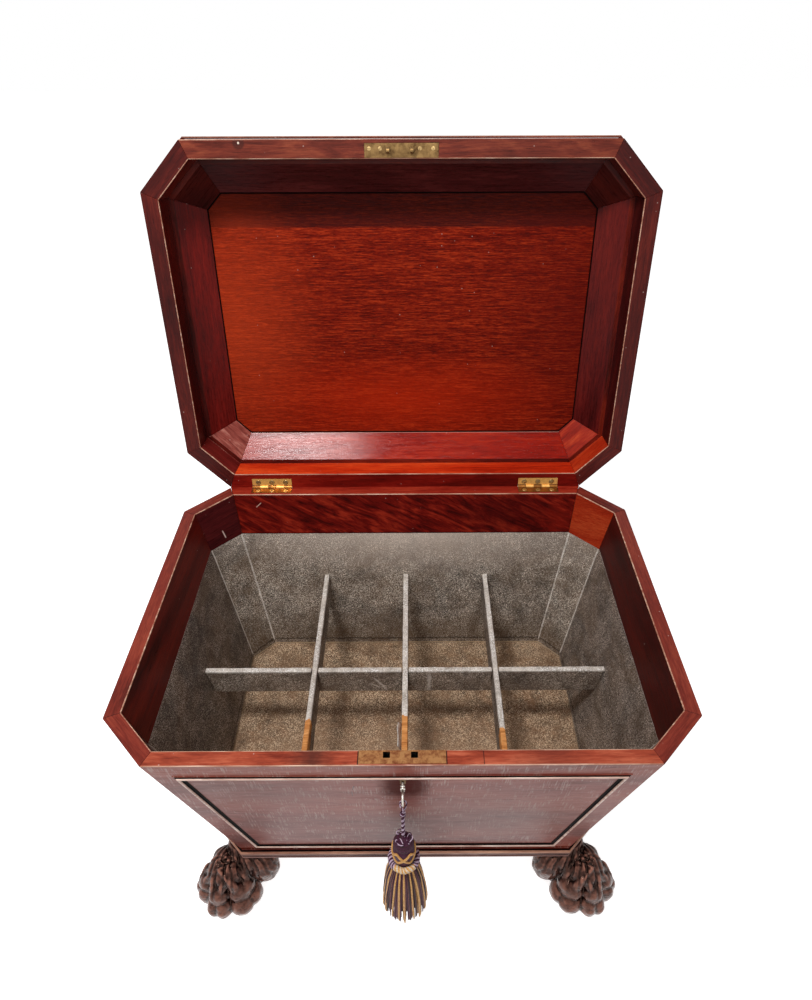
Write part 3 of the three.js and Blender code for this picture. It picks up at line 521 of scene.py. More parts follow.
def spot(at, half, tone, share=1.0, boxy=0.0, ragged=0.0, edge=0.6, turn=(0, 0, 0)):
    return {"at": at, "half": half, "tone": tone and colour(*tone), "share": share, "boxy": boxy,
            "ragged": ragged, "edge": edge, "turn": [math.radians(a) for a in turn]}


def maskOf(tree, where, one):
    mask = useGroup(tree, patchTree, Vector=where, Centre=one["at"], Half=one["half"], Turn=one["turn"],
                    Boxy=one["boxy"], Ragged=one["ragged"], Edge=one["edge"])["Mask"]
    return calc(tree, "MULTIPLY", mask, one["share"])


def withSpots(tree, where, surface, spots):
    for one in spots:
        surface = mixColours(tree, maskOf(tree, where, one), surface, one["tone"])
    return surface


def woodMaterial(name, shades, turn=(0, 0, 0), rough=0.35, specular=0.35, streaks=330.0, figure=9.0,
                 poreDepth=0.5, specks=0.02, figureShare=0.6, bump=0.12, spots=(), rubbed=0.0, polish=None,
                 coats=(0.0, 0.0)):
    made, tree, shader = newMaterial(name)
    dark, middle, light = (colour(*shade) for shade in shades)
    where = coordinates(tree)
    along = place(tree, "ShaderNodeMapping", {"Vector": where, "Rotation": [math.radians(a) for a in turn]})
    grain = useGroup(tree, grainTree, Vector=along.outputs["Vector"], Streaks=streaks, Figure=figure)
    blend = calc(tree, "ADD", calc(tree, "MULTIPLY", grain["Figure"], figureShare),
                 calc(tree, "MULTIPLY", grain["Streak"], 1 - figureShare))
    ramp = place(tree, "ShaderNodeValToRGB", {"Fac": blend})
    first, last = ramp.color_ramp.elements
    first.position, first.color = 0.18, dark
    last.position, last.color = 0.85, light
    ramp.color_ramp.elements.new(0.5).color = middle
    pored = mixColours(tree, calc(tree, "MULTIPLY", grain["Pore"], poreDepth), ramp.outputs["Color"],
                       tuple(c * 0.35 for c in dark[:3]) + (1.0,))
    chips = useGroup(tree, speckTree, Vector=where, Amount=specks)
    finished = mixColours(tree, calc(tree, "MULTIPLY", chips["Mask"], 0.7), pored, colour(196, 170, 160))
    if rubbed:
        upright = noiseOf(tree, scaled(tree, where, (1, 0.02, 0.06)), 520.0, 3.0, 0.65)
        broken = noiseOf(tree, where, 60.0, 3.0, 0.6)
        rubs = calc(tree, "MULTIPLY", stepped(tree, upright, 0.50, 0.60), stepped(tree, broken, 0.46, 0.60))
        finished = mixColours(tree, calc(tree, "MULTIPLY", rubs, rubbed), finished, colour(196, 176, 168))
    feed(tree, shader, {
        "Base Color": withSpots(tree, where, finished, spots),
        "Roughness": spread(tree, grain["Streak"], 0.16, rough - 0.08),
        "Specular IOR Level": specular,
    })
    height = calc(tree, "SUBTRACT", grain["Streak"], calc(tree, "MULTIPLY", grain["Pore"], 0.8))
    bumped(tree, shader, height, bump, 0.0006)
    if polish:
        layer = spread(tree, maskOf(tree, where, polish), coats[1] - coats[0], coats[0])
        feed(tree, shader, {
            "Coat Weight": calc(tree, "MULTIPLY", layer, spread(tree, grain["Streak"], 0.5, 0.75)),
            "Coat Roughness": rough + 0.04,
        })
    return made


# How the grain runs on each side, in degrees about the upright.
turnOf = {"front": 0, "back": 0, "right": 90, "left": 90, "front_right_corner": -45, "back_left_corner": -45,
          "back_right_corner": 45, "front_left_corner": 45}
lidTilt = math.degrees(openTurn)


def woodSet(name, shades, tilt=0, own={}, **finish):
    made = {}
    for side, turn in turnOf.items():
        settings = {"shades": shades, "turn": (tilt, 0, turn), **finish, **own.get(side, {})}
        made[side] = woodMaterial(f"{name}_{side}", **settings)
    return made


caseWood = woodSet("caseWood", ((46, 12, 10), (84, 24, 17), (128, 46, 28)), rough=0.34, specular=0.14, own={
    "front": dict(
        shades=((100, 36, 26), (128, 52, 38), (154, 76, 58)), rough=0.3, specular=0.0, specks=0.11,
        figureShare=0.7, rubbed=0.34, coats=(0.62, 0.2),
        polish=spot((0.002, 0, 0.376), (0.034, 9, 0.042), None, 1.0, 0.5, 0.012, 0.45), spots=[
            # Painted shade: a thin dark line just under the top of the panel moulding.
            spot((0, 0, 0.3945), (0.228, 9, 0.0018), (48, 26, 23), 0.75, 1.0, ragged=0.0015, edge=0.5),
            # Painted shade: a dark patch round the key, at the same place where the coat is made thinner.
            spot((0.002, 0, 0.372), (0.036, 9, 0.044), (74, 31, 28), 0.85, 0.4, ragged=0.014, edge=0.5),
            spot((-0.226, 0, 0.166), (0.026, 9, 0.034), (84, 24, 15), 0.9, ragged=0.012),
            spot((0.236, 0, 0.196), (0.020, 9, 0.024), (92, 32, 22), 0.7, ragged=0.012),
            spot((0.14, 0, 0.25), (0.16, 9, 0.13), (92, 50, 42), 0.6, ragged=0.03, edge=0.9),
            spot((-0.16, 0, 0.35), (0.12, 9, 0.07), (104, 54, 46), 0.5, ragged=0.03, edge=0.9),
            spot((-0.0575, 0, 0.369), (0.0005, 9, 0.008), (22, 10, 9), 0.9, 1.0, edge=0.3, turn=(0, -12, 0)),
            spot((-0.0600, 0, 0.350), (0.0004, 9, 0.010), (22, 10, 9), 0.8, 1.0, edge=0.3, turn=(0, -2, 0)),
        ]),
})
rimShades = ((80, 25, 18), (120, 43, 32), (150, 66, 48))
caseRimWood = woodSet("caseRimWood", rimShades, rough=0.36, specular=0.12, specks=0.05, own={
    "back": dict(shades=((92, 16, 10), (136, 32, 20), (170, 58, 36)), specular=0.08),
    "front": dict(
        shades=((112, 38, 24), (156, 66, 44), (190, 98, 70)), rough=0.38, specular=0.14, specks=0.07,
        figure=30.0, spots=[
            spot((-0.098, 0, 0.436), (0.030, 9, 9), (52, 26, 22), 0.75, ragged=0.02, edge=0.9),
            spot((-0.0484, 0, 0.436), (0.0007, 9, 9), (30, 14, 12), 0.9, 1.0, edge=0.3),
            spot((0.0484, 0, 0.436), (0.0007, 9, 9), (30, 14, 12), 0.9, 1.0, edge=0.3),
            spot((0.0888, 0, 0.436), (0.0006, 9, 9), (46, 20, 16), 0.8, 1.0, edge=0.3),
            spot((0.16, 0, 0.436), (0.05, 9, 9), (104, 46, 36), 0.4, ragged=0.02, edge=0.9),
        ]),
})
lidShades = ((44, 9, 7), (84, 18, 11), (126, 34, 16))
lidWood = woodSet("lidWood", lidShades, lidTilt, rough=0.32, specular=0.2, own={
    "front": dict(
        shades=((60, 14, 10), (96, 26, 17), (134, 48, 28)), rough=0.35, specular=0.15,
        spots=[spot((0, 0, 0.9205), (9, 9, 0.0036), (186, 118, 84), 0.6, 1.0, 0.002, 0.5)]),
})
bandWood = woodSet("bandWood", ((36, 9, 9), (62, 16, 14), (90, 26, 20)), rough=0.35, specular=0.09, own={
    "back": dict(
        shades=((58, 9, 8), (106, 18, 13), (152, 42, 25)), turn=(0, -28, 0), rough=0.33, specular=0.08,
        streaks=420.0, figure=64.0, figureShare=0.7, specks=0.035, spots=[
            spot((-0.2365, 0, 0.417), (0.0007, 9, 0.0065), (214, 176, 158), 0.9, 1.0, edge=0.3,
                 turn=(0, -48, 0)),
            spot((0.16, 0, 0.40), (0.10, 9, 0.05), (50, 8, 8), 0.55, ragged=0.03, edge=0.9),
            spot((0.25, 0, 0.39), (0.03, 9, 0.05), (128, 26, 16), 0.5, ragged=0.02, edge=0.9),
            spot((0, 0, 0.3636), (9, 9, 0.0016), (34, 6, 6), 0.8, 1.0, edge=0.5),
        ]),
    "left": dict(shades=((60, 12, 11), (98, 25, 20), (130, 38, 28))),
    "back_right_corner": dict(
        shades=((118, 24, 10), (158, 44, 20), (186, 74, 38)), turn=(0, 20, 45), specular=0.08,
        streaks=700.0, specks=0.05),
    "back_left_corner": dict(
        shades=((48, 12, 15), (78, 20, 22), (104, 34, 32)), rough=0.33, specular=0.1, specks=0.06, spots=[
            spot((-0.2935, 0, 0.379), (0.0008, 9, 0.0085), (226, 196, 186), 0.9, 1.0, edge=0.3,
                 turn=(0, 12, 0)),
        ]),
})
slopeShades = ((40, 9, 9), (66, 16, 14), (96, 28, 20))
lidSlopeWood = woodSet("lidSlopeWood", slopeShades, lidTilt, rough=0.3, specular=0.12, own={
    "back": dict(
        shades=((104, 12, 5), (146, 24, 10), (182, 48, 20)), rough=0.16, specular=0.08, streaks=260.0,
        bump=0.25, polish=spot((-0.19, 0, 0.47), (0.165, 9, 9), None, 1.0, 1.0, 0.02, 0.3), coats=(0.0, 0.13),
        # Painted highlight: a pale line along the slope's upper edge.
        spots=[spot((0, 0, 0.4876), (9, 9, 0.0007), (214, 150, 136), 0.8, 1.0)]),
    # Painted light and shade: the left slope gets lighter shades and the right slope darker ones.
    "left": dict(shades=((70, 12, 10), (110, 23, 19), (142, 39, 30)), specular=0.1),
    "right": dict(shades=((50, 9, 9), (80, 17, 16), (110, 30, 24)), specular=0.1),
    "front": dict(shades=((48, 12, 13), (76, 24, 25), (110, 44, 42))),
    "back_left_corner": dict(
        shades=((96, 30, 24), (140, 66, 56), (184, 118, 104)), rough=0.35, specular=0.15, figure=60.0,
        specks=0.1),
    "back_right_corner": dict(
        shades=((112, 18, 8), (152, 34, 15), (188, 66, 32)), rough=0.35, specular=0.1, figure=40.0,
        specks=0.05),
})
lidWallWood = {
    side: woodMaterial(f"lidWallWood_{side}", shades, (lidTilt, 0, turnOf[side]), rough=rough, specular=0.08)
    for side, rough, shades in (
        ("back", 0.4, ((148, 25, 8), (200, 49, 16), (234, 84, 34))),
        ("right", 0.35, ((34, 7, 8), (56, 13, 13), (84, 22, 19))),
        ("back_left_corner", 0.35, ((78, 16, 14), (118, 34, 30), (150, 56, 48))),
        ("back_right_corner", 0.35, ((118, 20, 8), (166, 40, 16), (200, 70, 32))),
    )
}
lidRimShades = ((48, 12, 11), (76, 21, 17), (108, 36, 27))
lidRimWood = woodSet("lidRimWood", lidRimShades, lidTilt, rough=0.36, specular=0.14, specks=0.04, own={
    "back": dict(shades=((74, 8, 4), (108, 14, 8), (140, 28, 16)), specular=0.09),
    "front": dict(
        shades=((78, 28, 20), (110, 44, 32), (142, 68, 46)), rough=0.4, specks=0.08, figure=40.0, spots=[
            spot((-0.2072, 0, 0.9152), (0.0085, 9, 0.0085), (58, 24, 20), 0.7, edge=0.25),
            spot((-0.2072, 0, 0.9152), (0.0016, 9, 0.0016), (232, 214, 196), 0.9, edge=0.4),
        ]),
})
wornEdge = woodMaterial("wornEdge", ((136, 74, 56), (184, 132, 108), (226, 190, 166)),
                        rough=0.5, specular=0.3, specks=0.1, figure=60.0, poreDepth=0.2)
panelWood = woodMaterial(
    "lidPanelWood", ((76, 9, 3), (120, 23, 7), (170, 52, 20)), (lidTilt, 0, 0), rough=0.42, specular=0.05,
    streaks=560.0, figure=11.0, poreDepth=0.75, figureShare=0.12, bump=0.5, spots=[
        # Painted light and shade on the panel: a shadow band along the top, darker towards the right, lighter
        # towards the left and along the bottom.
        spot((0, 0, 0.825), (9, 9, 0.030), (48, 12, 10), 0.72, 1.0, edge=0.12),
        spot((0.27, 0, 0.66), (0.16, 9, 0.26), (86, 10, 4), 0.6, ragged=0.02, edge=0.9),
        spot((-0.26, 0, 0.66), (0.14, 9, 0.24), (188, 62, 27), 0.5, ragged=0.02, edge=0.9),
        spot((0.0, 0, 0.545), (0.28, 9, 0.08), (184, 40, 8), 0.55, ragged=0.02, edge=0.9),
    ])
# Painted highlight: the pale bead of the front panel moulding.
paintedHighlightBead = woodMaterial("paintedHighlightBead", ((170, 128, 114), (216, 180, 164), (246, 226, 214)),
                        rough=0.3, specular=0.25, figure=30.0)
reedWood = woodMaterial("reedWood", ((140, 88, 68), (184, 132, 106), (220, 172, 142)),
                        rough=0.3, specular=0.25, figure=20.0)
thinReedWood = woodMaterial("thinReedWood", ((92, 56, 50), (132, 94, 86), (176, 138, 128)),
                            rough=0.34, specular=0.2, figure=20.0)
# Painted shade: near black for the ledges and quirks of the mouldings and for the line in the panel's gap.
paintedShadeLine = woodMaterial("paintedShadeLine", ((5, 3, 3), (11, 6, 6), (22, 12, 11)),
                         rough=0.5, specular=0.02, specks=0.0)
bareWood = woodMaterial("bareWood", ((176, 104, 52), (212, 142, 80), (238, 180, 118)),
                        rough=0.7, specular=0.15, figure=60.0)


def carvedMaterial(name, deep, middle, high):
    made, tree, shader = newMaterial(name)
    where = coordinates(tree)
    hollow = place(tree, "ShaderNodeAttribute", attribute_name="hollow").outputs["Fac"]
    blotch = noiseOf(tree, where, 90.0, 5.0, 0.65)
    height = place(tree, "ShaderNodeSeparateXYZ", {0: where}).outputs[2]
    low = stepped(tree, height, 0.075, 0.012)
    warmth = calc(tree, "MULTIPLY", stepped(tree, blotch, 0.36, 0.62), spread(tree, low, 0.7, 0.12))
    warm = mixColours(tree, warmth, middle, high)
    # Painted shade darkens the hollows in place of occlusion. The ridges turn pale, partly from wear and
    # partly as a painted highlight.
    shaded = mixColours(tree, stepped(tree, hollow, 0.54, 0.36), warm, deep)
    worn = mixColours(tree, calc(tree, "MULTIPLY", stepped(tree, hollow, 0.60, 0.86), 0.85), shaded, high)
    grit = calc(tree, "MULTIPLY", stepped(tree, noiseOf(tree, where, 620.0, 3.0, 0.7), 0.58, 0.70), low)
    feed(tree, shader, {
        "Base Color": mixColours(tree, calc(tree, "MULTIPLY", grit, 0.4), worn, colour(150, 84, 58)),
        "Roughness": spread(tree, blotch, 0.2, 0.12),
        "Specular IOR Level": 0.3,
        "Specular Tint": colour(255, 196, 174),
    })
    bumped(tree, shader, noiseOf(tree, where, 420.0, 4.0, 0.6), 0.35, 0.0006)
    return made


carvedWood = carvedMaterial("carvedWood", colour(8, 4, 4), colour(48, 29, 26), colour(152, 102, 86))
print("wood finishes made")


lining = {
    "floor": 0.127,
    "wall": 0.0186,
    "cants": (0.042, 0.035),
    "dent": 0.0009,
    "sheet": 0.0014,
    "seam": 0.0007,
}


def leadMaterial(name, shades, grit=0.45, stainShare=0.35, rough=0.62, spots=()):
    made, tree, shader = newMaterial(name)
    dark, middle, pale = (colour(*shade) for shade in shades)
    where = coordinates(tree)
    film = useGroup(tree, leadTree, Vector=where)
    base = mixColours(tree, film["Mottle"], dark, middle)
    stained = mixColours(tree, calc(tree, "MULTIPLY", film["Stain"], stainShare), base, colour(112, 86, 62))
    gritty = mixColours(tree, calc(tree, "MULTIPLY", film["Grit"], grit), stained, pale)
    feed(tree, shader, {
        "Base Color": withSpots(tree, where, gritty, spots),
        "Roughness": spread(tree, film["Mottle"], -0.12, rough),
        "Metallic": 0.25,
        "Specular IOR Level": 0.4,
    })
    bumped(tree, shader, film["Height"], 0.5, 0.0012)
    return made


# A pale line where the walls meet the floor, with a dark one over it.
floorLine = [spot((0, 0, lining["floor"] + 0.0022), (9, 9, 0.0016), (206, 180, 146), 0.8, 1.0, 0.003, 0.5),
             spot((0, 0, lining["floor"] + 0.0125), (9, 9, 0.0018), (40, 30, 24), 0.7, 1.0, 0.008, 0.5)]
leadSheet = leadMaterial("leadSheet", ((24, 19, 17), (66, 53, 46), (236, 220, 206)), grit=0.8, stainShare=0.5,
                         spots=floorLine)
# Painted light: the back wall's lead has lighter shades than the other walls, and a pale patch high in the
# middle.
paintedLitBackShades = ((38, 30, 25), (100, 84, 72), (255, 242, 226))
leadBackPaintedLight = leadMaterial("leadBackPaintedLight", paintedLitBackShades, grit=0.9, stainShare=0.55, spots=[
    spot((0.02, 0, 0.37), (0.36, 9, 0.10), (224, 206, 192), 0.65, ragged=0.05, edge=0.9),
    spot((0, 0, 0.150), (9, 9, 0.05), (88, 66, 44), 0.5, 1.0, 0.05, 0.9),
] + floorLine)
floorShades = ((54, 34, 20), (122, 84, 54), (255, 226, 190))
leadFloor = leadMaterial("leadFloor", floorShades, grit=0.8, stainShare=0.45, spots=[
    spot((0, caseY - 0.14, 0.127), (0.5, 0.17, 9), (206, 166, 130), 0.55, ragged=0.03, edge=0.9),
])
leadSlat = leadMaterial("leadSlat", ((58, 48, 42), (122, 106, 95), (244, 230, 214)), grit=0.85, spots=[
    spot((0.036, caseY, 0.255), (0.0035, 0.012, 0.03), (230, 222, 214), 0.6, 1.0, 0.008, 0.6),
    spot((-0.038, caseY, 0.252), (0.0022, 0.012, 0.02), (236, 228, 220), 0.7, 1.0, 0.006, 0.6, (0, 35, 0)),
    spot((-0.045, caseY, 0.247), (0.0012, 0.012, 0.012), (236, 228, 220), 0.7, 1.0, 0.004, 0.6, (0, 60, 0)),
])
leadPale = leadMaterial("leadPale", ((150, 138, 126), (222, 212, 200), (255, 253, 250)),
                        grit=0.9, stainShare=0.2)


def metalMaterial(name, bright, dull, rough=0.28, tarnish=0.5, scale=90.0, metal=1.0):
    made, tree, shader = newMaterial(name)
    marks = useGroup(tree, tarnishTree, Vector=coordinates(tree), Scale=scale)
    share = calc(tree, "MULTIPLY", marks["Mask"], tarnish)
    feed(tree, shader, {
        "Base Color": mixColours(tree, share, colour(*bright), colour(*dull)),
        "Roughness": spread(tree, marks["Mask"], 0.25, rough),
        "Metallic": metal,
    })
    bumped(tree, shader, marks["Fine"], 0.15)
    return made


hingeBrass = metalMaterial("hingeBrass", (246, 190, 104), (176, 118, 54), rough=0.34, tarnish=0.7, metal=0.6)
dullHinge = metalMaterial("dullHinge", (150, 98, 48), (84, 50, 24), rough=0.36, tarnish=0.7)
paleBrass = metalMaterial("paleBrass", (236, 206, 150), (190, 150, 92), rough=0.3)
oldBrass = metalMaterial("oldBrass", (164, 118, 76), (104, 54, 34), rough=0.42, tarnish=0.85, scale=150.0)
linkBrass = metalMaterial("linkBrass", (132, 104, 66), (74, 52, 32), rough=0.42, tarnish=0.8)
screwMetal = metalMaterial("screwMetal", (190, 160, 110), (96, 74, 48), rough=0.3)
keySteel = metalMaterial("keySteel", (206, 200, 190), (120, 108, 96), rough=0.26)
darkMetal = metalMaterial("darkMetal", (90, 84, 78), (48, 42, 38), rough=0.45)
print("lead and metal finishes made")


def yarnMaterial(name, dark, light, rough=0.7):
    made, tree, shader = newMaterial(name)
    fibres = noiseOf(tree, scaled(tree, coordinates(tree), (1, 1, 0.12)), 1900.0, 3.0, 0.6)
    feed(tree, shader, {
        "Base Color": mixColours(tree, stepped(tree, fibres, 0.35, 0.68), colour(*dark), colour(*light)),
        "Roughness": rough,
        "Sheen Weight": 0.06,
        "Sheen Roughness": 0.4,
        "Specular IOR Level": 0.2,
    })
    bumped(tree, shader, fibres, 0.4)
    return made


plumYarn = yarnMaterial("plumYarn", (32, 8, 23), (84, 34, 62))
duskYarn = yarnMaterial("duskYarn", (28, 12, 15), (70, 40, 40))
roseYarn = yarnMaterial("roseYarn", (74, 40, 44), (146, 96, 92))
lilacYarn = yarnMaterial("lilacYarn", (134, 100, 132), (226, 208, 220))
creamYarn = yarnMaterial("creamYarn", (176, 150, 120), (244, 230, 208), rough=0.6)
goldYarn = yarnMaterial("goldYarn", (160, 100, 44), (246, 194, 116), rough=0.5)

tassel = {
    "strandRadius": 0.00118,
    "cordTwist": 95,
    "ruffRadius": 0.0158,
    "ruffTurns": 13,
    "outerStrands": 88,
    "innerStrands": 48,
    "strandThickness": 0.00112,
    "goldEvery": 5,
    "tipSpread": 0.009,
    "bowTip": (-0.26631, 0.389164),
    "loopDrop": 0.0139,
    "loopAcross": 0.005,
    "loopLift": 0.0031,
}
keyShape = {
    "place": (-0.238957, 0.39354),
    "axis": (0, 0.98744, 0.15799),
    "bowRadius": 0.0076,
    "bowThickness": 0.0013,
    "bowOut": -0.0201,
    "bitPlace": (0, 0.0045, 0.0105),
    "bitSize": (0.0024, 0.009, 0.007),
}
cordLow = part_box("tassel_cord")[0]
headLow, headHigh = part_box("tassel_head")
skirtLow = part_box("tassel_skirt")[0]
tasselX, tasselY = 0.0, (headLow.y + headHigh.y) / 2
bowTip = Vector((0, caseY + tassel["bowTip"][0], tassel["bowTip"][1]))
headTop = cordLow.z
neck = headLow.z
loopJoin = bowTip.z - tassel["loopDrop"]
yarns = [plumYarn, lilacYarn, goldYarn, creamYarn, duskYarn, roseYarn]
plum, lilac, gold, cream, dusk, rose = range(6)


def aboutTassel(radius, angle, z):
    return Vector((tasselX + radius * math.cos(angle), tasselY + radius * math.sin(angle), z))

cordRoute = [Vector((tasselX, tasselY, loopJoin + (headTop - 0.001 - loopJoin) * k / 90)) for k in range(91)]
cordTurns = tassel["cordTwist"] * (loopJoin - headTop)
cord = tubes("tasselCord", [
    (line, tassel["strandRadius"], k, False)
    for k, line in enumerate(twisted(cordRoute, 0.00104, cordTurns, 2))
], yarns)
keep(cord, "tassel", "yarn", nodes=["tassel_cord"])

across, lift, bow = tassel["loopAcross"], tassel["loopLift"], keyShape["bowRadius"]
loopPoints = [
    (0, tasselY, loopJoin),
    (bow * 0.56, bowTip.y + across, bowTip.z - bow * 0.7),
    (0, bowTip.y + across, bowTip.z),
    (-lift, bowTip.y, bowTip.z + lift),
    (0, bowTip.y - across, bowTip.z),
    (bow * 0.28, bowTip.y - across, bowTip.z - bow * 0.7),
]
loopRoute = smoothLine(loopPoints, 96, cyclic=True)
loop = tubes("tasselLoop", [
    (line, 0.00058, k, True) for k, line in enumerate(twisted(loopRoute, 0.0005, 7, 2, cyclic=True))
], yarns)
keep(loop, "tassel", "yarn", nodes=["tassel_cord"])
knot = tubes("tasselKnot", [
    ([(tasselX + (0.0021 + 0.0003 * turn) * math.cos(a / 12 * math.pi),
       tasselY + 0.0023 * math.sin(a / 12 * math.pi),
       loopJoin + 0.0016 - 0.0021 * turn + 0.0005 * math.sin(a / 6 * math.pi)) for a in range(24)],
     0.0009, turn % 2, True)
    for turn in range(3)
], yarns)
keep(knot, "tassel", "yarn")

headShape = [(0.0, 0.0), (0.0052, -0.0012), (0.0086, -0.0060), (0.0105, -0.0120), (0.0108, -0.0170),
             (0.0102, -0.0195),
             (0.0121, -0.0225), (0.0132, -0.0300), (0.0134, -0.0400), (0.0126, -0.0480), (0.0115, -0.0560),
             (0.0118, -0.0628), (0.0, -0.0630)]
head = lathed("tasselHead", headShape, (tasselX, tasselY, headTop), 48, 50)
keep(head, "tassel", "yarn", plumYarn, nodes=["tassel_head"])


# The dome is wound with cords, dark ones, with pale loops on its sides.
def domeRoute(phase, steps=150, turns=5.5):
    route = []
    for k in range(steps):
        t = k / (steps - 1)
        radius = 0.0030 + 0.0083 * math.sin(min(1, t * 1.15) * math.pi / 2)
        z = headTop - 0.0008 - 0.0182 * t + 0.0002 * math.sin(k * 1.7)
        route.append(aboutTassel(radius, 2 * math.pi * (turns * t + phase), z))
    return route


domeLines = [(domeRoute(strand / 3), 0.00125, choice, False)
             for strand, choice in enumerate((plum, dusk, plum))]
for side in range(3):
    turn = side * 2.1 - 2.2
    knotRoute = smoothLine([
        aboutTassel(0.0068 + 0.0035 * math.cos(a * 1.05), turn + 0.75 * math.sin(a * 2.1),
                    headTop - 0.0035 + 0.0022 * math.sin(a * 1.05))
        for a in range(6)
    ], 48, cyclic=True)
    for choice, line in zip((lilac, plum), twisted(knotRoute, 0.00055, 5, 2, cyclic=True)):
        domeLines.append((line, 0.0006, choice, True))
dome = tubes("tasselDome", domeLines, yarns)
keep(dome, "tassel", "yarn")

# Gold threads cross on the body of the head.
crossLines = []
for side in range(5):
    for lean in (-1, 1):
        for thread in (-0.6, 0.6):
            route = []
            for t in [k / 14 for k in range(15)]:
                angle = -1.57 + side * 1.2566 + lean * (t - 0.5) * 1.25 + thread * 0.11
                radius = 0.01405 * (1 - 0.05 * abs(2 * t - 1))
                route.append(aboutTassel(radius, angle, headTop - 0.0235 - 0.0215 * t))
            crossLines.append((route, 0.00105, gold, False))
crossThreads = tubes("tasselCrossThreads", crossLines, yarns)
keep(crossThreads, "tassel", "yarn")

# The ruff is a thick rope laid round the neck: gold and cream in front, plum and lilac elsewhere.
ruffZ = neck + 0.0078
ruffRoute = [aboutTassel(tassel["ruffRadius"], math.radians(k), ruffZ + 0.0006 * math.sin(k / 9))
             for k in range(360)]
ruffLines = []
for k, line in enumerate(twisted(ruffRoute, 0.0022, tassel["ruffTurns"], 4, cyclic=True)):
    front, rest = line[228:319], line[316:] + line[:231]
    ruffLines.append((front, 0.00175, (gold, cream)[k % 2], False))
    ruffLines.append((rest, 0.00175, (plum, lilac)[k % 2], False))
ruff = tubes("tasselRuff", ruffLines, yarns)
keep(ruff, "tassel", "yarn")

# The skirt: yarn strands in two rounds about a dark core.
skirtDrop = neck - skirtLow.z


def skirtRadius(share, inner=0.0):
    shares = [(0, 0.0150), (0.08, 0.0182), (0.25, 0.0228), (0.6, 0.0275), (0.9, 0.0298), (1, 0.0294)]
    for (a, low), (b, high) in zip(shares, shares[1:]):
        if share <= b:
            return (low + (high - low) * (share - a) / (b - a)) - inner
    return shares[-1][1] - inner


skirtLines = []
for layer, (count, inner, thickness) in enumerate((
    (tassel["outerStrands"], 0.0012, tassel["strandThickness"]),
    (tassel["innerStrands"], 0.0046, tassel["strandThickness"] * 1.1),
)):
    for strand in range(count):
        start = 2 * math.pi * (strand + 0.5 * layer) / count
        sway = random.uniform(-0.05, 0.05)
        bend = random.uniform(-0.035, 0.035)
        drop = skirtDrop - random.uniform(0.0006, tassel["tipSpread"]) - 0.004 * layer
        group = strand // tassel["goldEvery"]
        golden = strand % tassel["goldEvery"] == 2 + (-1, 1, 0, -1, 0)[group % 5]
        choice = gold if golden else (plum, rose, dusk, rose)[strand % 4]
        sunk = 0.0009 * (strand % 2)
        wide = thickness * random.uniform(0.7, 1.1) * (1.45 if golden else 1.0)
        points, radii = [], []
        for k in range(13):
            t = k / 12
            angle = start + sway * t + bend * math.sin(3.1 * t + strand)
            wave = 0.0008 * abs(math.sin(2.2 * t + strand * 1.3))
            out = skirtRadius(t, inner) - wave + (0.0006 if golden else -sunk)
            points.append(aboutTassel(out, angle, neck + 0.001 - drop * t))
            radii.append(wide * (0.62 + 0.38 * min(1, t * 3)) * (1 if t < 0.93 else 0.55))
        skirtLines.append((points, radii, choice, False))
skirtCore = [(0.0, 0.0), (0.0118, -0.0004), (0.0150, -0.02), (0.0188, -0.06), (0.0208, -skirtDrop + 0.018),
             (0.0, -skirtDrop + 0.020)]
strands = tubes("tasselSkirt", skirtLines, yarns, sides=1)
keep(strands, "tassel", "yarn", nodes=["tassel_skirt"])
core = lathed("tasselCore", skirtCore, (tasselX, tasselY, neck), 32, 50)
keep(core, "tassel", "yarn", duskYarn)
print("tassel made")


paw = {
    "reach": 0.051,
    "height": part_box("front_left_foot")[1].z,
    "toes": ((-76, 1.0), (-22, 1.0), (44, 1.4), (108, 0.9)),
    "splay": -4,
    "inset": (0.033, 0.0036),
    "grain": 0.0014,
    "blur": 4,
    "fullBulge": 0.00035,
}
baseHalfWidth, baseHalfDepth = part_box("base_moulding")[1].x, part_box("base_moulding")[1].y - caseY


def lobe(out, side, rise, halfOut, halfSide, halfRise, turn=0.0, tilt=0.0, lean=0.0):
    turned = Matrix.Rotation(math.radians(turn), 3, "Z")
    centre = turned @ Vector((out * paw["reach"], side * paw["reach"], 0))
    centre.z = rise * paw["height"]
    return primitive(
        bpy.ops.mesh.primitive_uv_sphere_add, segments=24, ring_count=14, radius=1, location=centre,
        rotation=(math.radians(lean), math.radians(tilt), math.radians(turn)),
        scale=(halfOut * paw["reach"], halfSide * paw["reach"], halfRise * paw["height"]))


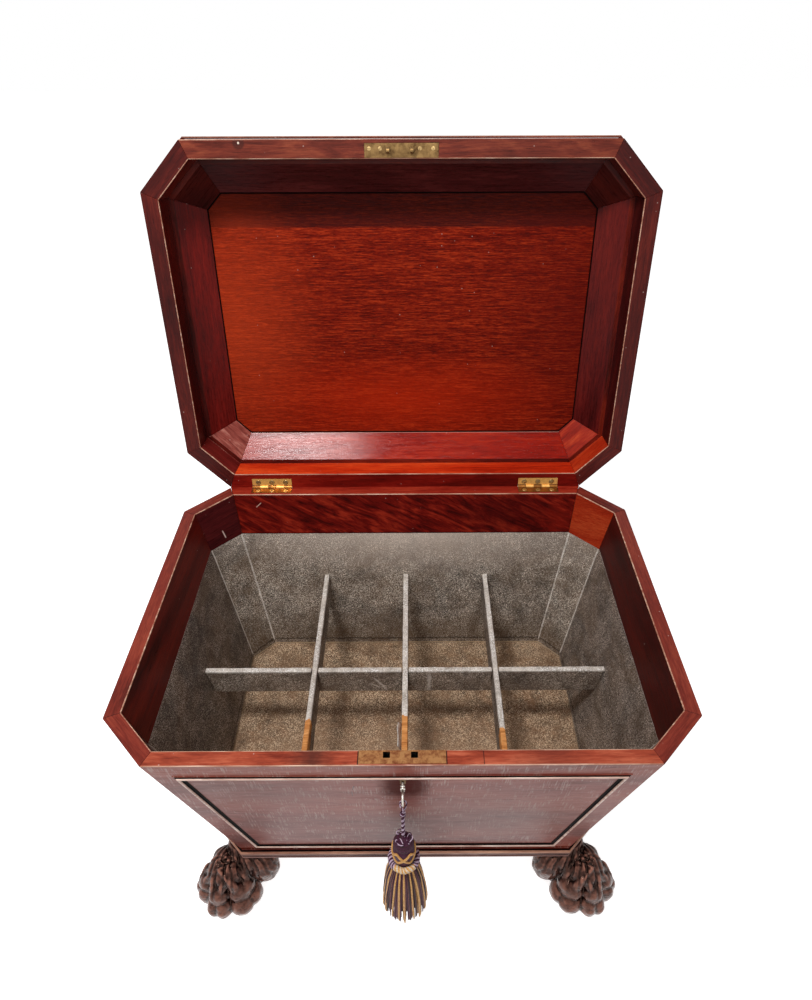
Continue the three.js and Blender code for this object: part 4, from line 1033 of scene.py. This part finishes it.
def carvedPaw():
    lobes = [
        lobe(-0.02, 0.12, 0.40, 0.58, 0.60, 0.46),
        lobe(-0.05, 0.12, 0.15, 0.62, 0.66, 0.18),
        lobe(-0.46, 0.50, 0.70, 0.46, 0.52, 0.42),
        lobe(-0.22, -0.05, 0.60, 0.42, 0.42, 0.32),
        lobe(-0.05, 1.05, 0.62, 0.40, 0.45, 0.33),
        lobe(-0.12, 0.68, 0.62, 0.38, 0.42, 0.34),
        lobe(-0.417, 0.169, 0.2, 0.38, 0.55, 0.24),
    ]
    for turn, wide in paw["toes"]:
        lobes += [
            lobe(0.62, 0.13 * wide, 0.20, 0.39, 0.25 * wide, 0.23, turn, 4),
            lobe(0.65, -0.12 * wide, 0.20, 0.39, 0.25 * wide, 0.22, turn, 4),
            lobe(0.60, 0, 0.46, 0.28, 0.29 * wide, 0.19, turn),
            lobe(0.52, -0.13 * wide, 0.64, 0.17, 0.11 * wide, 0.18, turn, -26, 5),
            lobe(0.52, 0.13 * wide, 0.62, 0.17, 0.11 * wide, 0.18, turn, -26, -5),
            lobe(0.24, 0, 0.64, 0.34, 0.27 * wide, 0.26, turn, -8),
        ]
        for side in (-0.19, -0.065, 0.065, 0.19):
            lobes.append(lobe(0.28, side * wide, 0.80, 0.11, 0.05, 0.17, turn, -46))
    foot = joinAll(lobes, "paw")
    modify(foot, "REMESH", mode="VOXEL", voxel_size=paw["grain"])
    modify(foot, "SMOOTH", factor=0.5, iterations=3)
    reach, height = paw["reach"], paw["height"]

    def carve(point, normal):
        turn = math.atan2(point.y - 0.25 * reach, point.x + 0.8 * reach)
        rise = point.z / height
        hair = math.sin(turn * 33 + 2.6 * noise.noise(point * 45) + rise * 2.5)
        cut = max(0.0, hair) ** 2 * 0.0015
        depth = cut * max(0.0, min(1.0, (rise - 0.46) * 5)) * min(1.0, max(0.0, (1.02 - rise) * 12))
        rough = 0.0004 * noise.noise(point * 300) + 0.0011 * noise.noise(point * 95)
        point = point + normal * (rough - depth)
        point.z = max(0.0, min(height - 0.0001, point.z))
        return point

    reshape(foot, carve)
    settle(foot)
    smoothBy(foot, 180)
    markHollows(foot)
    return foot


# How far each point bulges out or sinks in, blurred. The carved finish uses it to paint shade in the hollows
# and to make the ridges pale, as wear and as a painted highlight.
def markHollows(piece):
    mesh = piece.data
    count = len(mesh.vertices)
    places, normals = [v.co.copy() for v in mesh.vertices], [v.normal.copy() for v in mesh.vertices]
    around = [[] for _ in range(count)]
    for edgeOf in mesh.edges:
        a, b = edgeOf.vertices
        around[a].append(b)
        around[b].append(a)
    bulge = [sum((places[i] - places[j]).dot(normals[i]) for j in around[i]) / max(1, len(around[i]))
             for i in range(count)]
    for _ in range(paw["blur"]):
        bulge = [(bulge[i] + sum(bulge[j] for j in around[i])) / (1 + len(around[i])) for i in range(count)]
    layer = mesh.attributes.new("hollow", "FLOAT", "POINT")
    layer.data.foreach_set("value", [min(1.0, max(0.0, 0.5 + value / paw["fullBulge"])) for value in bulge])


pawModel = carvedPaw()
footX = baseHalfWidth - 0.0003 - paw["inset"][0]
footY = baseHalfDepth - 0.0001 - paw["inset"][1]
pawPlaces = {"front_left": (-1, -1), "front_right": (1, -1), "back_right": (1, 1), "back_left": (-1, 1)}
for name, (right, back) in pawPlaces.items():
    foot = twin(pawModel, "paw_" + name)
    hand = right * back
    if hand < 0:
        foot.data.transform(Matrix.Scale(-1, 4, (0, 1, 0)))
    turn = back * math.pi / 2 - hand * math.radians(paw["splay"])
    moved = Matrix.Translation((right * footX, caseY + back * footY, 0))
    foot.data.transform(moved @ Matrix.Rotation(turn, 4, "Z"))
    pointOutwards(foot)
    smoothBy(foot, 180)
    keep(foot, "carcass", "carved_mahogany", carvedWood, nodes=[name + "_foot"])
bpy.data.objects.remove(pawModel)
print("feet carved")


edges = {"worn": 0.0011, "joint": 0.00025, "softMetal": 0.00025, "backLip": 0.00084}
sides = ("front", "front_right_corner", "right", "back_right_corner", "back", "back_left_corner", "left",
         "front_left_corner")
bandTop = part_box("lead_lining")[1].z


def softened(node, name, width=edges["softMetal"], segments=2, angle=35):
    piece = cadCopy(node, name)
    modify(piece, "BEVEL", width=width, segments=segments, limit_method="ANGLE",
           angle_limit=math.radians(angle))
    flattenShading(piece, 40)
    return piece


def octagonRing(halfWidth, halfDepth, cant, z):
    x, y = halfWidth - cant, halfDepth - cant
    flat = [(-x, -halfDepth), (x, -halfDepth), (halfWidth, -y), (halfWidth, y),
            (x, halfDepth), (-x, halfDepth), (-halfWidth, y), (-halfWidth, -y)]
    return [Vector((a, b + caseY, z)) for a, b in flat]


def wornBoard(node, name, materials, outerEdge, innerEdge):
    piece = cadCopy(node, name)
    addMaterials(piece, *materials)
    pickEdges(piece, lambda a, b: (outerEdge(a) and outerEdge(b))
              or (innerEdge(a) and innerEdge(b) and (a - b).length > 0.02))
    bpy.ops.mesh.bevel(offset=edges["worn"], segments=3, profile=0.6, material=1, clamp_overlap=False)
    leaveEdit()
    modify(piece, "BEVEL", width=edges["joint"], segments=1, limit_method="ANGLE",
           angle_limit=math.radians(40))
    if "back" in name and "corner" not in name:
        reshape(piece, lambda p, n: p + lipOf(p) * edges["backLip"])
    flattenShading(piece, 30)
    return piece


# The case and the lid meet at the back in a hair's breadth, so both have a slight lip there.
def lipOf(point):
    backwards = Vector((0, 1, 0))
    turned = Matrix.Rotation(-openTurn, 3, "X") @ backwards
    for flat, outwards in ((point, backwards), (closedLid(point), turned)):
        if abs(flat.z - rimZ) < 0.0007 and flat.y - caseY > case["halfDepth"] - 0.0007:
            return outwards
    return Vector((0, 0, 0))


def paintFaces(piece, choiceOf):
    for face in piece.data.polygons:
        choice = choiceOf(face)
        if choice is not None:
            face.material_index = choice


for side in sides:
    board = wornBoard(
        side + "_board", "case_" + side, [caseWood[side], wornEdge, bandWood[side], caseRimWood[side]],
        lambda p: side == "front" and p.z > rimZ - 0.0003 and abs(edgeDistance(p.x, p.y - caseY)) < 0.0004,
        lambda p: p.z > rimZ - 0.0003 and -0.026 < edgeDistance(p.x, p.y - caseY) < -0.0175,
    )

    def boardPart(face):
        if face.material_index:
            return None
        if face.center.z > rimZ - 0.001 and face.normal.z > 0.9:
            return 3
        inward = face.center.x * face.normal.x + (face.center.y - caseY) * face.normal.y < 0
        inBand = face.center.z > bandTop - 0.002 and abs(face.normal.z) < 0.4 and face.area > 0.0006
        return 2 if inward and inBand else None

    paintFaces(board, boardPart)
    keep(board, "carcass", "mahogany_front" if side == "front" else "mahogany", nodes=[side + "_board"])
print("case boards worn")


lidRim = rimZ + lidGap


def onLidRim(point, low, high):
    flat = closedLid(point)
    return abs(flat.z - lidRim) < 0.0004 and low < edgeDistance(flat.x, flat.y - caseY) < high


for side in sides:
    board = wornBoard(
        f"lid_{side}_board", "lid_" + side, [lidWood[side], wornEdge, lidSlopeWood[side], lidRimWood[side],
                                     lidWallWood.get(side, lidWood[side])],
        lambda p: side == "front" and onLidRim(p, -0.0005, 0.0005), lambda p: onLidRim(p, -0.028, -0.02),
    )

    def lidPart(face):
        flat = Matrix.Rotation(openTurn, 3, "X") @ face.normal
        if face.material_index:
            return None
        height = closedLid(face.center).z - lidRim
        if flat.z < -0.95 and height < 0.001:
            return 3
        inward = flat.x * face.center.x + flat.y * (closedLid(face.center).y - caseY) < 0
        if inward and abs(flat.z) < 0.2 and height < 0.045:
            return 4
        return 2 if -0.95 < flat.z < -0.2 and 0.03 < height < 0.075 else None

    paintFaces(board, lidPart)
    keep(board, "lid", "mahogany", nodes=[f"lid_{side}_board"])
# A near-black tube along the panel's edge is painted shadow in the gap between the panel and the slopes.
panelEdge = 0.0662
gapLine = octagonRing(case["halfWidth"] - panelEdge, case["halfDepth"] - panelEdge,
                      case["cant"] - panelEdge * (2 - math.sqrt(2)), lidRim + 0.0708)
gap = tubes("panelGapShadow", [([openLid(point) for point in gapLine], 0.0010, 0, True)], [paintedShadeLine])
keep(gap, "lid", "mahogany")
panel = softened("lid_panel", "lidPanel", 0.0016, 3)
keep(panel, "lid", "mahogany_panel", panelWood, nodes=["lid_panel"])
lidStrip = softened("lid_moulding", "lidStrip", 0.0004)
keep(lidStrip, "lid", "mahogany", lidWood["front"], nodes=["lid_moulding"])
print("lid made")


mouldings = {
    "drop": 0.302,
    "margins": (0.028, 0.023, 0.006),
    "baseWall": 0.0007,
    "baseBack": 0.0097,
    "reeds": (0.42, 0.29, 0.29),
    "quirk": 0.0008,
}
lean = 0.16
tilt = math.atan(lean)


def panelRing(side, inset, proud):
    topMargin, sideMargin, bottomMargin = mouldings["margins"]
    span = case["halfWidth"] if side in ("front", "back") else case["halfDepth"]
    reach = case["halfDepth"] if side in ("front", "back") else case["halfWidth"]
    top, bottom = topMargin + inset, mouldings["drop"] - bottomMargin - inset
    ring = []
    for drop, sign in ((top, -1), (bottom, -1), (bottom, 1), (top, 1)):
        half = span - case["cant"] - sideMargin - lean * drop - inset * math.hypot(1, lean)
        out = reach - lean * drop + proud * math.cos(tilt)
        x, y, z = sign * half, -out, rimZ - drop - proud * math.sin(tilt)
        turn = {"front": 0, "right": math.pi / 2, "left": -math.pi / 2}[side]
        ring.append(Matrix.Rotation(turn, 3, "Z") @ Vector((x, y, z)) + Vector((0, caseY, 0)))
    return ring


def paintRows(piece, rings, choices):
    middles = []
    for k, choice in enumerate(choices):
        low, high = rings[k], rings[(k + 1) % len(rings)]
        for c in range(len(low)):
            d = (c + 1) % len(low)
            middles.append(((low[c] + low[d] + high[c] + high[d]) / 4, choice))
    for face in piece.data.polygons:
        face.material_index = min(middles, key=lambda m: (m[0] - face.center).length_squared)[1]


# Each row: how far in from the edge, how proud, and which material: 0 is painted shade on the ledges and
# quirk, 1 the bead, a painted highlight on the front panel, 2 the board's own wood.
stripRows = [(0.0, 0.0002, 2), (0.0, 0.0008, 2), (0.0011, 0.0008, 0), (0.0014, 0.0004, 0),
             (0.0030, 0.0018, 0)]
stripRows += [(0.0047 - 0.0015 * math.cos(a * math.pi / 8), 0.0018 + 0.0015 * math.sin(a * math.pi / 8), 1)
              for a in range(9)]
stripRows += [(0.0064, 0.0018, 0), (0.0078, 0.0004, 0), (0.0103, 0.0004, 0), (0.0104, 0.0002, 0)]
for side in ("front", "left", "right"):
    rings = [panelRing(side, inset, proud) for inset, proud, _ in stripRows]
    strip = ringLoft("panelStrip_" + side, rings, round=True, smoothness=38)
    addMaterials(strip, paintedShadeLine, paintedHighlightBead if side == "front" else caseWood[side], caseWood[side])
    paintRows(strip, rings, [choice for _, _, choice in stripRows])
    keep(strip, "carcass", "mahogany", nodes=[side + "_panel_moulding"])


baseTop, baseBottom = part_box("base_moulding")[1].z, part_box("base_moulding")[0].z
baseDrop = 0.3115


def baseRing(out, z):
    slope = lean * baseDrop
    return octagonRing(case["halfWidth"] - slope + out, case["halfDepth"] - slope + out,
                       case["cant"] + out * (2 - math.sqrt(2)), z)


# The quirks above and below each reed's front get painted shade (material 3).
baseRows = [(-mouldings["baseBack"], baseTop)]
reedZ = baseTop
reedChoices = [0]
for k, share in enumerate(mouldings["reeds"]):
    size = share * (baseTop - baseBottom)
    radius = (size - mouldings["quirk"]) / 2
    for a in range(13):
        turn = math.pi * a / 12
        baseRows.append((mouldings["baseWall"] + radius * math.sin(turn),
                         reedZ - size / 2 + radius * math.cos(turn)))
        reedChoices.append(1 + min(k, 1) if (3 if k else 2) <= a < 10 else 3)
    reedZ -= size
baseRows.append((-mouldings["baseBack"], baseBottom))
reedChoices.append(0)
rings = [baseRing(out, z) for out, z in baseRows]
base = ringLoft("baseMoulding", rings, round=True, smoothness=38)
addMaterials(base, caseWood["back"], reedWood, thinReedWood, paintedShadeLine)
paintRows(base, rings, reedChoices)
keep(base, "carcass", "mahogany", nodes=["base_moulding"])
print("mouldings swept")


corners = (0.0, 0.012, 0.045, 0.14, 0.25, 0.375, 0.5, 0.625, 0.75, 0.86, 0.955, 0.988)
wallRows, floorRows = 22, 14


def liningPoint(i, j):
    count = len(corners) * 8
    side, part = divmod(i % count, len(corners))
    down = min(1.0, j / wallRows)
    z = bandTop + (lining["floor"] - bandTop) * down
    drop = rimZ - z
    cant = lining["cants"][0] + (lining["cants"][1] - lining["cants"][0]) * down
    inset = lining["wall"] + lean * drop
    ring = octagonRing(case["halfWidth"] - inset, case["halfDepth"] - inset, cant, z)
    a, b = ring[side], ring[(side + 1) % 8]
    point = a + (b - a) * corners[part]
    middle = Vector((0, caseY, z))
    if j > wallRows:
        point = point + (middle - point) * ((j - wallRows) / floorRows)
        point.z += lining["dent"] * (0.6 + 1.1 * noise.noise(point * 16) + 0.5 * noise.noise(point * 60))
        return point
    inward = Vector((-(b - a).y, (b - a).x, 0)).normalized()
    push = lining["dent"] * (0.7 + 0.9 * noise.noise(point * 14) + 0.4 * noise.noise(point * 55))
    if 0 < j < wallRows:
        point += inward * max(0.0, push)
        if part in (0, 1, len(corners) - 1):
            point += (middle - point).normalized() * lining["seam"]
    return point


leadTray = shapedGrid("leadLining", len(corners) * 8, wallRows + floorRows, liningPoint, 40, closed=False)
firstFace = leadTray.data.polygons[0]
if firstFace.normal.dot(Vector((0, caseY, 0.25)) - firstFace.center) < 0:
    overAll(leadTray, bpy.ops.mesh.flip_normals)
modify(leadTray, "SOLIDIFY", thickness=lining["sheet"], offset=-1)
addMaterials(leadTray, leadSheet, leadPale, leadFloor, leadBackPaintedLight)


def leadPart(face):
    if face.center.z > bandTop - 0.004:
        return 1
    if face.center.z < lining["floor"] + 0.004 and abs(face.normal.z) > 0.5:
        return 2
    if face.area < 0.00003 and face.center.z > lining["floor"] + 0.01:
        return 1
    return 3 if face.center.y > caseY and abs(face.normal.y) > 0.6 else 0


paintFaces(leadTray, leadPart)
smoothBy(leadTray, 40)
keep(leadTray, "carcass", "lead", nodes=["lead_lining"])

slats = {
    "voxel": 0.0019,
    "waves": 0.00045,
    "bareTo": {"cross_divider_left": -0.088, "cross_divider_centre": -0.080, "cross_divider_right": -0.102},
}
for name in ("long_divider", "cross_divider_left", "cross_divider_centre", "cross_divider_right"):
    slat = cadCopy(name, "lead_" + name)
    modify(slat, "REMESH", mode="VOXEL", voxel_size=slats["voxel"])
    modify(slat, "SMOOTH", factor=0.5, iterations=2)
    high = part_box(name)[1]
    reshape(slat, lambda p, n: p + n * slats["waves"] * (noise.noise(p * 45) + 0.5 * noise.noise(p * 160)))
    addMaterials(slat, leadSlat if name == "long_divider" else leadSheet, leadPale, bareWood)

    def slatPart(face):
        ragged = 0.005 * noise.noise(face.center * 90)
        if name != "long_divider" and face.center.y < caseY + slats["bareTo"][name] + ragged:
            return 2 if face.center.z > high.z - 0.016 + ragged else 0
        return 1 if face.center.z > high.z - 0.0028 - 0.0012 * noise.noise(face.center * 130) else 0

    paintFaces(slat, slatPart)
    smoothBy(slat, 50)
    keep(slat, "carcass", "lead_covered_wood", nodes=[name])

# A torn flap of lead stands up by the bare end of the middle slat.
centreLow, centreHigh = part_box("cross_divider_centre")
flapY = caseY - 0.1295


def flapPoint(i, j):
    across, up = i / 10, j / 8
    reach = 0.016 * up
    return Vector((centreLow.x - 0.0012 - 0.004 * up * up + 0.0006 * math.sin(9 * across),
                   flapY + 0.042 * across + 0.005 * up * math.sin(4 * across),
                   centreHigh.z - 0.010 + reach * (0.6 + 0.4 * math.sin(2.6 * across + 0.4))))


flap = shapedGrid("leadFlap", 10, 8, flapPoint, 50, closed=False)
modify(flap, "SOLIDIFY", thickness=0.0009)
keep(flap, "carcass", "lead_covered_wood", leadPale)
print("lead laid")


screwSize = {"radius": 0.0039, "head": 0.0012, "slot": 0.0009, "deep": 0.0007}


def slottedScrew(radius, deep=screwSize["deep"]):
    profile = [(0, 0.0), (radius * 0.6, -0.00002), (radius * 0.92, -0.00012), (radius, -0.0004),
               (radius * 0.45, -screwSize["head"] * 1.6), (0, -screwSize["head"] * 1.6)]
    head = lathed("screw", profile, (0, 0, 0), 28, 35)
    cutter = primitive(bpy.ops.mesh.primitive_cube_add, size=1,
                       scale=(radius * 2.4, screwSize["slot"] * radius / screwSize["radius"], deep * 2))
    modify(head, "BOOLEAN", operation="DIFFERENCE", object=cutter, solver="EXACT")
    bpy.data.objects.remove(cutter)
    smoothBy(head, 35)
    return head


screwModel = slottedScrew(screwSize["radius"])
openMove = Matrix.Translation(hingeAxis) @ Matrix.Rotation(-openTurn, 4, "X") @ Matrix.Translation(-hingeAxis)
faceDown = Matrix.Rotation(math.pi, 4, "X")
for side in ("left", "right"):
    for count in (1, 2, 3):
        low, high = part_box(f"{side}_case_screw_{count}")
        spin = Matrix.Rotation(random.uniform(0, math.pi), 4, "Z")
        x, y = (low.x + high.x) / 2, (low.y + high.y) / 2
        made = twin(screwModel, f"caseScrew_{side}_{count}")
        made.data.transform(Matrix.Translation((x, y, rimZ - 0.0001)) @ spin)
        keep(made, "carcass", "brass", screwMetal, nodes=[f"{side}_case_screw_{count}"])
        made = twin(screwModel, f"lidScrew_{side}_{count}")
        spin = Matrix.Rotation(random.uniform(0, math.pi), 4, "Z")
        made.data.transform(openMove @ Matrix.Translation((x, y, lidRim + 0.0001)) @ faceDown @ spin)
        keep(made, "lid", "brass", screwMetal, nodes=[f"{side}_lid_screw_{count}"])
bpy.data.objects.remove(screwModel)
for side in ("left", "right"):
    for part, body, metal in (("case_leaf", "carcass", dullHinge), ("lid_leaf", "lid", hingeBrass),
                              ("pin", "carcass", paleBrass)):
        leaf = softened(f"{side}_hinge_{part}", f"{side}Hinge{part.replace('_', '')}", 0.0002)
        keep(leaf, body, "brass", metal, nodes=[f"{side}_hinge_{part}"])

plate = softened("lock_plate", "lockPlate", 0.0002)
keep(plate, "carcass", "aged_brass", oldBrass, nodes=["lock_plate"])
link = softened("lid_link_plate", "linkPlate", 0.0002)
keep(link, "lid", "aged_brass", linkBrass, nodes=["lid_link_plate"])
smallScrew = slottedScrew(0.0026, 0.0005)
plateLow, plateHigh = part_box("lock_plate")
for k, x in enumerate((-0.0425, 0.0425)):
    made = twin(smallScrew, f"plateScrew_{k}")
    made.data.transform(Matrix.Translation((x, (plateLow.y + plateHigh.y) / 2, rimZ + 0.0002))
                        @ Matrix.Rotation(0.5 + k, 4, "Z"))
    keep(made, "carcass", "aged_brass", oldBrass)
for k, x in enumerate((-0.0415, -0.0275, 0.0235, 0.0405)):
    made = twin(smallScrew, f"linkScrew_{k}")
    closed = Matrix.Translation((x, plateLow.y + 0.0085, lidRim - 0.0002)) @ faceDown
    made.data.transform(openMove @ closed @ Matrix.Rotation(0.7 * k, 4, "Z"))
    keep(made, "lid", "aged_brass", screwMetal)
bpy.data.objects.remove(smallScrew)
lockCase = softened("lock_case", "lockCase", 0.0003)
keep(lockCase, "carcass", "steel", darkMetal, nodes=["lock_case"])
bolt = softened("lock_bolt", "lockBolt", 0.0003)
keep(bolt, "lock_bolt", "steel", keySteel, nodes=["lock_bolt"])
plateOfKey = softened("keyhole_escutcheon", "keyholeEscutcheon", 0.0002)
keep(plateOfKey, "carcass", "brass", linkBrass, nodes=["keyhole_escutcheon"])

keyPlace = Vector((0, caseY + keyShape["place"][0], keyShape["place"][1]))
bowOut = keyShape["bowOut"]
shaftShape = [(0, 0.015), (0.0014, 0.0149), (0.0018, 0.0144), (0.0018, -0.0062), (0.0023, -0.0066),
              (0.0026, -0.0072), (0.0021, -0.0078), (0.0019, -0.0084), (0.0028, -0.0090), (0.0030, -0.0100),
              (0.0026, -0.0110),
              (0.0020, -0.0114), (0.0022, -0.0122), (0.0016, -0.0134), (0, -0.0136)]
shaft = lathed("keyShaft", shaftShape, (0, 0, 0), 24, 40)
bowRing = primitive(bpy.ops.mesh.primitive_torus_add, major_segments=56, minor_segments=14,
                    major_radius=keyShape["bowRadius"], minor_radius=keyShape["bowThickness"],
                    location=(0, 0, bowOut), rotation=(0, math.pi / 2, 0))
for vertex in bowRing.data.vertices:
    swell = 1 + 0.12 * math.cos(math.atan2(vertex.co.y, vertex.co.z - bowOut))
    vertex.co.x *= swell
bit = primitive(bpy.ops.mesh.primitive_cube_add, size=1, location=keyShape["bitPlace"],
                scale=keyShape["bitSize"])
modify(bit, "BEVEL", width=0.0003, segments=2)
keyPiece = joinAll([shaft, bowRing, bit], "lockKey")
turn = Vector((0, 0, 1)).rotation_difference(Vector(keyShape["axis"])).to_matrix().to_4x4()
keyPiece.data.transform(Matrix.Translation(keyPlace) @ turn)
smoothBy(keyPiece, 45)
keep(keyPiece, "key", "steel", keySteel, nodes=["key"])
print("metalwork made")


def seenDirectly(tree):
    paths = tree.nodes.new("ShaderNodeLightPath")
    return calc(tree, "MAXIMUM", paths.outputs["Is Camera Ray"],
                calc(tree, "MAXIMUM", paths.outputs["Is Glossy Ray"], paths.outputs["Is Transmission Ray"]))


# The floor and the world look white to the eye, while less of their light falls on the piece.
floor = primitive(bpy.ops.mesh.primitive_plane_add, size=14, location=(0, 0, -0.0005))
floor.name = "floor"
floorPaint, tree, shader = newMaterial("floorPaint")
feed(tree, shader, {"Base Color": (0.86, 0.86, 0.86, 1), "Roughness": 0.9, "Specular IOR Level": 0.1})
white = place(tree, "ShaderNodeEmission", {"Color": (1, 1, 1, 1), "Strength": 0.85})
both = place(tree, "ShaderNodeAddShader", {0: shader.outputs[0], 1: white.outputs[0]})
mixed = place(tree, "ShaderNodeMixShader", {0: seenDirectly(tree), 1: shader.outputs[0], 2: both.outputs[0]})
tree.links.new(mixed.outputs[0], tree.nodes["Material Output"].inputs["Surface"])
floor.data.materials.append(floorPaint)

world = bpy.context.scene.world or bpy.data.worlds.new("world")
bpy.context.scene.world = world
world.use_nodes = True
tree = world.node_tree
skyStrength = spread(tree, seenDirectly(tree), 0.75, 0.25)
feed(tree, tree.nodes["Background"], {"Strength": skyStrength, "Color": (1, 1, 1, 1)})


def softLight(name, energy, size, location, aim, colourOf=(1, 1, 1), tall=None):
    data = bpy.data.lights.new(name, "AREA")
    data.energy = energy
    data.color = colourOf
    data.shape = "RECTANGLE"
    data.size, data.size_y = size, tall or size
    made = bpy.data.objects.new(name, data)
    bpy.context.scene.collection.objects.link(made)
    made.location = location
    made.rotation_euler = (Vector(aim) - Vector(location)).to_track_quat("-Z", "Y").to_euler()
    return made


softLight("windowLight", 34, 0.49, (-0.525, -0.64, 2.35), (-0.174, 0.24, 0.473), tall=0.26)
softLight("fillLight", 10, 1.3, (0.1, -1.9, 1.9), (0, 0.05, 0.4))
bpy.context.scene.view_settings.view_transform = "Standard"
